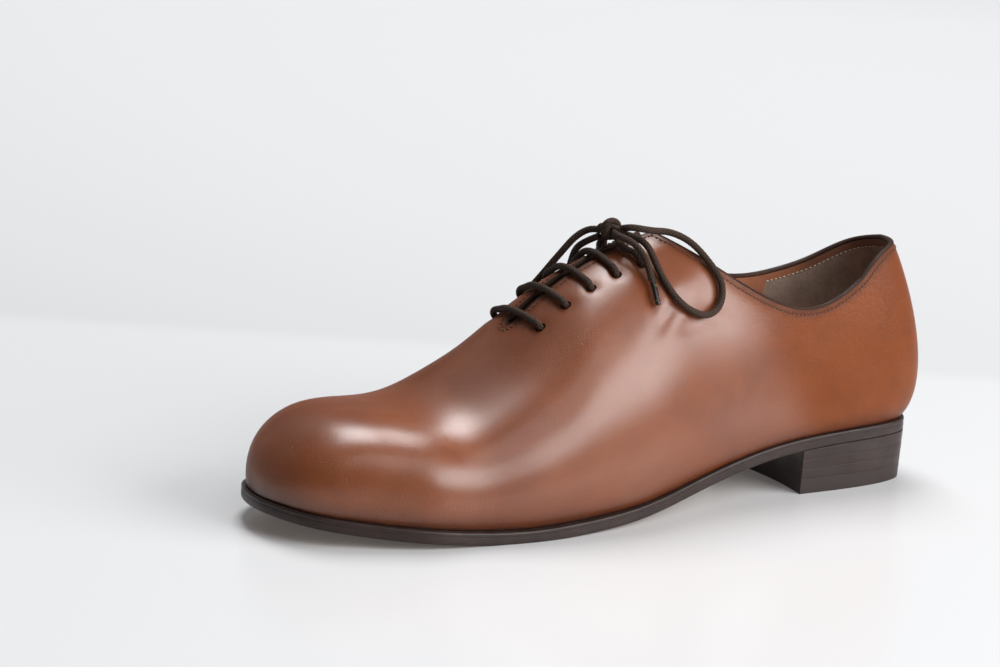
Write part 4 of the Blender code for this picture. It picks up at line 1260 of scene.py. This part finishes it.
def inset_places(at, top, side, inset):
    """Stations and shares at a distance over the face straight in from the upper's edge."""
    small = 0.004
    edge = wall(at, top, side)
    by_station = (wall(at + small, top, side) - edge) / small
    by_share = (edge - wall(at, top - small, side)) / small
    ahead = unit(np.gradient(edge, axis=0))
    inward = np.cross(normal(at, np.minimum(top, EDGE_NEAR_RIDGE), side), ahead)
    inward *= -np.sign((inward * by_share).sum(1, keepdims=True)) * inset
    across, mixed, up = (by_station ** 2).sum(1), (by_station * by_share).sum(1), (by_share ** 2).sum(1)
    right, rise = (by_station * inward).sum(1), (by_share * inward).sum(1)
    spread = across * up - mixed ** 2
    station = at + (up * right - mixed * rise) / spread
    share = top + (across * rise - mixed * right) / spread
    return np.clip(station, 0, 2), share


def edge_line(inset, step=EDGE_STEP):
    """Points and normals on the folded face at an inset from the upper's own edge, from the outer heel side
    round the slit to the inner one."""
    sides = []
    last = station_of(SLIT_END - SLIT_END_GAP / 2 / LAST_LENGTH)
    at = np.concatenate([np.linspace(0, 1, FAN_EDGE_STEPS)[:-1], np.linspace(1, last, LONG_EDGE_STEPS)])
    for side in (OUTER, INNER):
        top = np.minimum(top_share(at, side), 1)
        station, share = inset_places(at, top, side, inset)
        face_normals = normal(station, np.minimum(share, EDGE_NEAR_RIDGE), side)
        sides.append((surface(station, share, side), face_normals))
    radius = SLIT_END_GAP / 2 + inset
    end, end_normals = [], []
    for turn in np.linspace(math.pi / 2, -math.pi / 2, ROUND_EDGE_STEPS)[1:-1]:
        along = SLIT_END + (radius * math.cos(turn) - SLIT_END_GAP / 2) / LAST_LENGTH
        place = (along, radius * math.sin(turn))
        end.append(skin(*place, 0))
        end_normals.append((skin(*place, MM) - skin(*place, 0)) / MM)
    points = np.concatenate([sides[0][0], end, sides[1][0][::-1]])
    normals = np.concatenate([sides[0][1], end_normals, sides[1][1][::-1]])
    lengths = run_lengths(points)
    runs = np.arange(0, lengths[-1], step)
    return at_runs(runs, lengths, points), unit(at_runs(runs, lengths, normals))


def distances_to(points, line):
    tree = KDTree(len(line))
    for index, point in enumerate(line):
        tree.insert(point, index)
    tree.balance()
    return np.array([tree.find(point)[2] for point in points])


def punch_eyelets(piece):
    """Cuts the ten round holes right through a layer of the upper."""
    build = bmesh.new()
    for along in EYELETS:
        for side in (OUTER, INNER):
            middle = skin(along, side * EYELET_ROW, -WALL / 2)
            axis = Vector(skin(along, side * EYELET_ROW, WALL) - middle).normalized()
            turn = axis.to_track_quat("Z", "Y").to_matrix().to_4x4()
            place = Matrix.Translation(Vector(to_frame(middle))) @ turn
            bmesh.ops.create_cone(
                build, cap_ends=True, segments=EYELET_SIDES, radius1=EYELET_DIAMETER / 2,
                radius2=EYELET_DIAMETER / 2, depth=PUNCH_DEPTH, matrix=place)
    data = bpy.data.meshes.new("punches")
    build.to_mesh(data)
    build.free()
    punches = new_object("punches", data)
    hole = piece.modifiers.new("eyelets", "BOOLEAN")
    hole.operation = "DIFFERENCE"
    hole.solver = "EXACT"
    hole.object = punches
    keep_modified(piece)
    bpy.data.objects.remove(punches)


def eyelet_dimple(points):
    """How far the leather is drawn in round each eyelet."""
    depth = np.zeros(points.shape[:-1])
    for along in EYELETS:
        for side in (OUTER, INNER):
            centre = skin(along, side * EYELET_ROW, 0)
            away = np.linalg.norm(points - centre, axis=-1)
            depth += DIMPLE_DEPTH * np.exp(-(away / DIMPLE_SPREAD) ** 2)
    return depth


def add_upper():
    """The whole cut calf skin with its folds, and the lining inside it."""
    points, across, along = upper_grid(fine_stations(), CALF_ROWS, 0.0)
    columns = len(points)
    dimple = eyelet_dimple(points)
    flat_normals = np.cross(np.gradient(points, axis=0), np.gradient(points, axis=1))
    flat_normals /= np.linalg.norm(flat_normals, axis=2, keepdims=True) + TINY
    points_out = flat_normals[..., 1:2] * np.sign(across)[..., None] > 0
    points = points + np.where(points_out, -flat_normals, flat_normals) * dimple[..., None]
    edge = edge_line(0.0)[0]
    from_edge = distances_to(points.reshape(-1, 3), edge) / MM
    steps = np.linalg.norm(np.diff(points, axis=1), axis=2)
    from_feather = np.concatenate([np.zeros((columns, 1)), np.cumsum(steps, 1)], 1).ravel() / MM
    uvs = {
        "edge": np.stack([from_edge, from_feather], 1),
        "last": np.stack([along.ravel(), across.ravel() / MM], 1),
    }
    faces = grid_faces(columns, CALF_ROWS, closed_rows=True)
    calf = add_mesh("whole_cut_calf", points, faces, [finishes["calf"]], uvs)
    welded(calf, UPPER_WELD)
    thicken(calf, CALF_THICKNESS)
    punch_eyelets(calf)
    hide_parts("upper")
    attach(calf, "root")

    coarse = fine_stations(LINING_DENSITY)
    points = upper_grid(coarse, LINING_ROWS, -CALF_THICKNESS - LAYER_GAP)[0]
    from_edge = distances_to(points.reshape(-1, 3), edge) / MM
    station = np.repeat(np.concatenate([coarse, coarse[-2:0:-1]]), LINING_ROWS)
    faces = grid_faces(len(points), LINING_ROWS, closed_rows=True)
    uvs = {"rim": np.stack([from_edge, station], 1)}
    lining = add_mesh("inside_lining", points, faces, [finishes["lining"]], uvs)
    welded(lining, UPPER_WELD)
    thicken(lining, WALL - CALF_THICKNESS - LAYER_GAP)
    punch_eyelets(lining)
    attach(lining, "root")


add_upper()


def add_binding():
    """Rolled binding along the collar and the slit, a closed bead that sits on the upper's edge."""
    points, normals = edge_line(0.0, BINDING_STEP)
    ahead = unit(np.roll(points, -1, 0) - np.roll(points, 1, 0))
    outward = unit(np.cross(ahead, normals))
    if outward[0][2] < 0:
        outward = -outward
    centre = points - normals * WALL / 2 + outward * BINDING_RISE
    bead = centre[:, None] + ring_out(normals * BINDING_WIDE / 2, outward * BINDING_TALL / 2, BINDING_SIDES)
    faces = grid_faces(len(points), BINDING_SIDES, closed_rows=True, closed_columns=True)
    piece = add_mesh("rolled_binding", bead, faces, [finishes["trim"]], sharp=80)
    welded(piece, TRIM_WELD)
    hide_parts("topline_binding")
    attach(piece, "root")


add_binding()


def stitch_row(name, points, normals, finish, sink, end=math.inf):
    """Short threads lying in a row along a line, as far forward as end."""
    sides, rings = STITCH_SIDES, STITCH_RINGS
    profile = np.linspace(-1, 1, rings)
    swell = np.sqrt(np.clip(1 - (np.abs(profile) * 0.97) ** 4, 0, 1))
    all_points, all_faces = [], []
    lengths = run_lengths(points)
    for middle in np.arange(STITCH_PITCH, lengths[-1] - STITCH_PITCH, STITCH_PITCH):
        at = middle + profile * STITCH_LENGTH / 2
        line, face = at_runs(at, lengths, points), at_runs(at, lengths, normals)
        if line[rings // 2][0] >= end:
            continue
        side = np.cross(unit(np.gradient(line, axis=0)), face)
        line = line + face * (STITCH_RADIUS * (1 - 1.5 * profile ** 4) - sink)[:, None]
        ring = line[:, None] + ring_out(side, face, sides) * (STITCH_RADIUS * swell)[:, None, None]
        start = len(all_points) * sides * rings
        all_points.append(ring.reshape(-1, 3))
        all_faces += [[start + corner for corner in corners] for corners in tube_faces(rings, sides)]
    piece = add_mesh(name, np.concatenate(all_points), all_faces, [finishes[finish]], sharp=70)
    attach(piece, "root")


def add_stitches():
    """One row just under the edge all round outside, one inside the heel lining."""
    points, normals = edge_line(STITCH_INSET)
    stitch_row("edge_stitches", points, normals, "dark_thread", STITCH_SINK)
    points, normals = edge_line(LINING_STITCH_INSET)
    inside = points - normals * WALL
    stitch_row("lining_stitches", inside, -normals, "pale_thread", LINING_STITCH_SINK, POLAR_END)


add_stitches()


def add_tongue():
    """Tongue leaf under the slit, rounded along its edges."""
    alongs = np.linspace(TONGUE_TOP, TONGUE_END, TONGUE_ROWS)
    acrosses = np.linspace(-TONGUE_HALF_WIDTH, TONGUE_HALF_WIDTH, TONGUE_COLUMNS)
    rows = np.concatenate([skin_row(along, acrosses, -TONGUE_DEPTH) for along in alongs])
    faces = grid_faces(len(alongs), len(acrosses))
    piece = add_mesh("tongue_leaf", rows, faces, [finishes["tongue"]])
    welded(piece, TRIM_WELD)
    middle = piece.data.polygons[len(piece.data.polygons) // 2]
    thicken(piece, TONGUE_THICKNESS, -1 if middle.normal.z > 0 else 1)
    rim = piece.modifiers.new("rim", "BEVEL")
    rim.width = SOFT_BEVEL
    rim.segments = 3
    rim.limit_method = "ANGLE"
    keep_modified(piece)
    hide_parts("tongue")
    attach(piece, "root")


add_tongue()


def edge_rows(alongs, side, profile, bottom, top):
    """One side of a sole as rows of points."""
    plans = [(outline_point(alongs, side, reach(alongs)), share) for reach, share in profile]
    return np.array([raised_plan(plan, bottom, top, share) for plan, share in plans])


def slab(name, alongs, profile, bottom, top, cover, materials, across_columns=14):
    """A closed slab under the last. profile rows are (reach from the outline's edge, share of the height);
    bottom and top are heights by place along; cover gives how each of the two flat faces bends, as offsets by
    share across."""
    outer, inner = (edge_rows(alongs, side, profile, bottom, top) for side in (OUTER, INNER))
    shares = np.linspace(0, 1, across_columns + 2)[1:-1]
    over = [outer[-1] * (1 - t) + inner[-1] * t + [0, 0, cover(t)[1]] for t in shares]
    under = [inner[0] * (1 - t) + outer[0] * t + [0, 0, cover(t)[0]] for t in shares]
    ring = np.concatenate([outer, np.array(over), inner[::-1], np.array(under)])
    columns, rows = ring.shape[:2]
    faces = grid_faces(rows, columns, closed_columns=True)
    piece = add_mesh(name, ring.transpose(1, 0, 2), faces, materials, sharp=SOLE_SHARP_ANGLE)
    if len(materials) > 1:
        first_under = len(profile) * 2 + across_columns - 1
        marks = np.tile(np.arange(columns) >= first_under, rows - 1)
        piece.data.polygons.foreach_set("material_index", marks.astype(np.int32))
    welded(piece, TRIM_WELD, SOLE_SHARP_ANGLE)
    return piece


def edge_profile(reach, low_bevel, high_bevel, height, bulge=0.0):
    """Rows of a sole's side with rounded corners and a slight bulge, as (reach function, share of height)."""

    def inset_reach(inset):
        return lambda along: reach(along) - inset - bulge

    low, high = [], []
    for turn in np.linspace(0, math.pi / 2, PROFILE_ROUNDS):
        away, up = 1 - math.sin(turn), 1 - math.cos(turn)
        low.append((inset_reach(low_bevel * away), low_bevel / height * up))
        high.append((inset_reach(high_bevel * away), 1 - high_bevel / height * up))
    return low + [(inset_reach(-bulge), 0.5)] + high[::-1]


def add_soles():
    """Outsole with a waxed edge, the welt ring on it, and the insole."""
    alongs = sole_alongs(FINE_SOLE_COLUMNS)

    def flat_cover(t):
        return 0.0, 0.0

    profile = edge_profile(edge_reach, OUTSOLE_BEVEL, SEAM_BEVEL, OUTSOLE_THICKNESS, SOLE_BULGE)
    outsole = slab(
        "leather_outsole", alongs, profile, underside, outsole_top, flat_cover,
        [finishes["edge"], finishes["bottom"]])
    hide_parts("outsole")
    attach(outsole, "root")

    def level_reach(reach):
        return lambda along: np.full(np.shape(along), reach)

    def welt_low(along):
        return outsole_top(along) + LAYER_GAP

    def welt_high(along):
        return outsole_top(along) + GAP + WELT_THICKNESS

    profile = edge_profile(edge_reach, SEAM_BEVEL, SOFT_BEVEL, WELT_THICKNESS + GAP, SOLE_BULGE)
    profile = [(level_reach(-WALL), 0.0), *profile, (level_reach(-WALL), 1.0)]
    rings = []
    for side, order in GOING_ROUND:
        rings.append(edge_rows(alongs, side, profile, welt_low, welt_high)[:, order].transpose(1, 0, 2))
    ring = np.concatenate(rings)
    faces = grid_faces(len(ring), ring.shape[1], closed_rows=True, closed_columns=True)
    welt = add_mesh("welt_ring", ring, faces, [finishes["edge"]], sharp=SOLE_SHARP_ANGLE)
    welded(welt, RIM_WELD, SOLE_SHARP_ANGLE)
    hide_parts("welt")
    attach(welt, "root")

    def insole_low(along):
        return outsole_top(along) + GAP

    def insole_high(along):
        return feather_height(along) + INSOLE_THICKNESS

    def cup(t):
        return 0.0, -INSOLE_CUP * math.sin(math.pi * t)

    profile = edge_profile(level_reach(-WALL - GAP), SOFT_BEVEL, SOFT_BEVEL, INSOLE_THICKNESS)
    insole = slab(
        "foot_insole", alongs, profile, insole_low, insole_high, cup, [finishes["insole"]],
        INSOLE_COLUMNS)
    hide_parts("insole")
    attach(insole, "root")


add_soles()


def heel_plan(taper):
    """Closed outline of the heel: the sole's edge, cut off at the hollow breast."""
    front = HEEL_LENGTH / LAST_LENGTH
    alongs = front * (1 - np.cos(np.linspace(0, math.pi / 2, HEEL_COLUMNS)))
    outer, inner = (outline_point(alongs, side, edge_reach(alongs) - taper) for side in (OUTER, INNER))
    breast = []
    for t in np.linspace(0, 1, BREAST_COLUMNS + 2)[1:-1]:
        hollow = np.array([BREAST_HOLLOW * 4 * t * (1 - t), 0])
        breast.append(outer[-1] * (1 - t) + inner[-1] * t - hollow)
    return np.concatenate([outer, breast, inner[:0:-1]])


def heel_layer(name, node, bottom, top, low_taper, high_taper, finish):
    """One layer of the heel with softened rims."""
    rows = []
    for share, inset in HEEL_RIMS:
        plan = heel_plan(low_taper * (1 - share) + high_taper * share + inset)
        rows.append(raised_plan(plan, bottom, top, share))
    ring = np.array(rows)
    piece = add_mesh(name, ring, tube_faces(*ring.shape[:2]), [finishes[finish]], sharp=30)
    welded(piece, RIM_WELD, SOLE_SHARP_ANGLE, split_caps=True)
    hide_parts(node)
    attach(piece, "root")


def add_heel():
    start = TOP_PIECE_THICKNESS + LAYER_GAP
    taper = HEEL_TAPER * (1 - TOP_PIECE_THICKNESS / HEEL_HEIGHT)

    def flat(height):
        return lambda along: np.full(np.shape(along), height)

    def level(share, under):
        return lambda along: start + (underside(along) - start) * share - (LAYER_GAP if under else 0)

    heel_layer(
        "heel_rubber_piece", "heel_top_piece", flat(0.0), flat(TOP_PIECE_THICKNESS), HEEL_TAPER, taper,
        "rubber")
    for i in range(HEEL_LIFTS):
        low, high = i / HEEL_LIFTS, (i + 1) / HEEL_LIFTS
        heel_layer(
            f"leather_lift_{i + 1}", f"heel_lift_{i + 1}", level(low, False), level(high, True),
            taper * (1 - low), taper * (1 - high), "edge")


add_heel()


# The backdrop: how far ahead of the camera it starts and where its painted glow is brightest, and the level
# direction ahead
BACKDROP_START = 1.733
BACKDROP_END = 2.80
VIEW_AHEAD = (-0.5381, -0.8429, 0.0)
FLOOR_HALF = 4.0
BRIGHT_SIDE = (-0.546, -0.809, 0.218)
LIGHTS_AIM = (0, 0, 0.05)


def floor_material():
    """White glossy table top, a little greyer from BACKDROP_START away from the camera, with a painted glow
    in place of light that is faint near the shoe and grows from BACKDROP_START to BACKDROP_END.
    """
    floor = Nodes("pale_floor")
    away = floor.add("VectorMath", {"operation": "DOT_PRODUCT"})
    floor.put(away.inputs[0], floor.place())
    floor.put(away.inputs[1], VIEW_AHEAD)
    camera = float(np.dot(to_frame(EYE), VIEW_AHEAD))
    start, end = camera + BACKDROP_START, camera + BACKDROP_END
    behind = floor.ramp(away.outputs["Value"], start, start + 0.03)
    tone = floor.mix(behind, (0.65, 0.655, 0.665), (0.59, 0.595, 0.605))
    # Painted glow: the floor's emission stands in for light, faint near the shoe and brighter further away
    painted_glow = floor.add(
        "MapRange", Value=away.outputs["Value"], From_Min=start, From_Max=end, To_Min=0.06, To_Max=0.34)
    floor.set(Base_Color=tone, Roughness=0.2, Specular_IOR_Level=0.3, Emission_Strength=painted_glow.outputs["Result"])
    floor.set(Emission_Color=(0.97, 0.98, 1.0))
    return floor.material


def add_stage():
    """Pale floor, three soft lights, and a pale world that is brighter beyond the shoe."""
    data = bpy.data.meshes.new("floor")
    corners = [(x * FLOOR_HALF, y * FLOOR_HALF, 0) for x, y in ((-1, -1), (1, -1), (1, 1), (-1, 1))]
    data.from_pydata(corners, [], [(0, 1, 2, 3)])
    data.materials.append(floor_material())
    floor = new_object("floor", data)

    def soft_light(name, azimuth, elevation, distance, width, height, power):
        data = bpy.data.lights.new(name, "AREA")
        data.shape = "RECTANGLE"
        data.size = width
        data.size_y = height
        data.energy = power
        light = new_object(name, data)
        a, e = math.radians(azimuth), math.radians(elevation)
        back = Vector((math.cos(a) * math.cos(e), math.sin(a) * math.cos(e), math.sin(e)))
        light.location = back * distance + Vector(LIGHTS_AIM)
        light.rotation_mode = "QUATERNION"
        light.rotation_quaternion = back.to_track_quat("Z", "Y")

    soft_light("side_softbox", 126, 25, 2.2, 2.3, 1.2, 68)
    soft_light("front_softbox", 94, 54, 2.2, 1.8, 1.1, 13)
    soft_light("top_softbox", -115, 66, 2.0, 0.8, 1.15, 34)
    world = bpy.data.worlds.new("pale_room")
    world.use_nodes = True
    nodes, links = world.node_tree.nodes, world.node_tree.links
    direction = nodes.new("ShaderNodeTexCoord")
    toward = nodes.new("ShaderNodeVectorMath")
    toward.operation = "DOT_PRODUCT"
    toward.inputs[1].default_value = BRIGHT_SIDE
    links.new(direction.outputs["Generated"], toward.inputs[0])
    glow = nodes.new("ShaderNodeMapRange")
    glow.interpolation_type = "SMOOTHSTEP"
    for name, value in (("From Min", 0.45), ("From Max", 0.95), ("To Min", 0.07), ("To Max", 0.30)):
        glow.inputs[name].default_value = value
    links.new(toward.outputs["Value"], glow.inputs["Value"])
    sky = nodes["Background"]
    sky.inputs["Color"].default_value = (0.95, 0.975, 1.0, 1)
    links.new(glow.outputs["Result"], sky.inputs["Strength"])
    bpy.context.scene.world = world
    bpy.context.scene.view_settings.view_transform = "Standard"


add_stage()
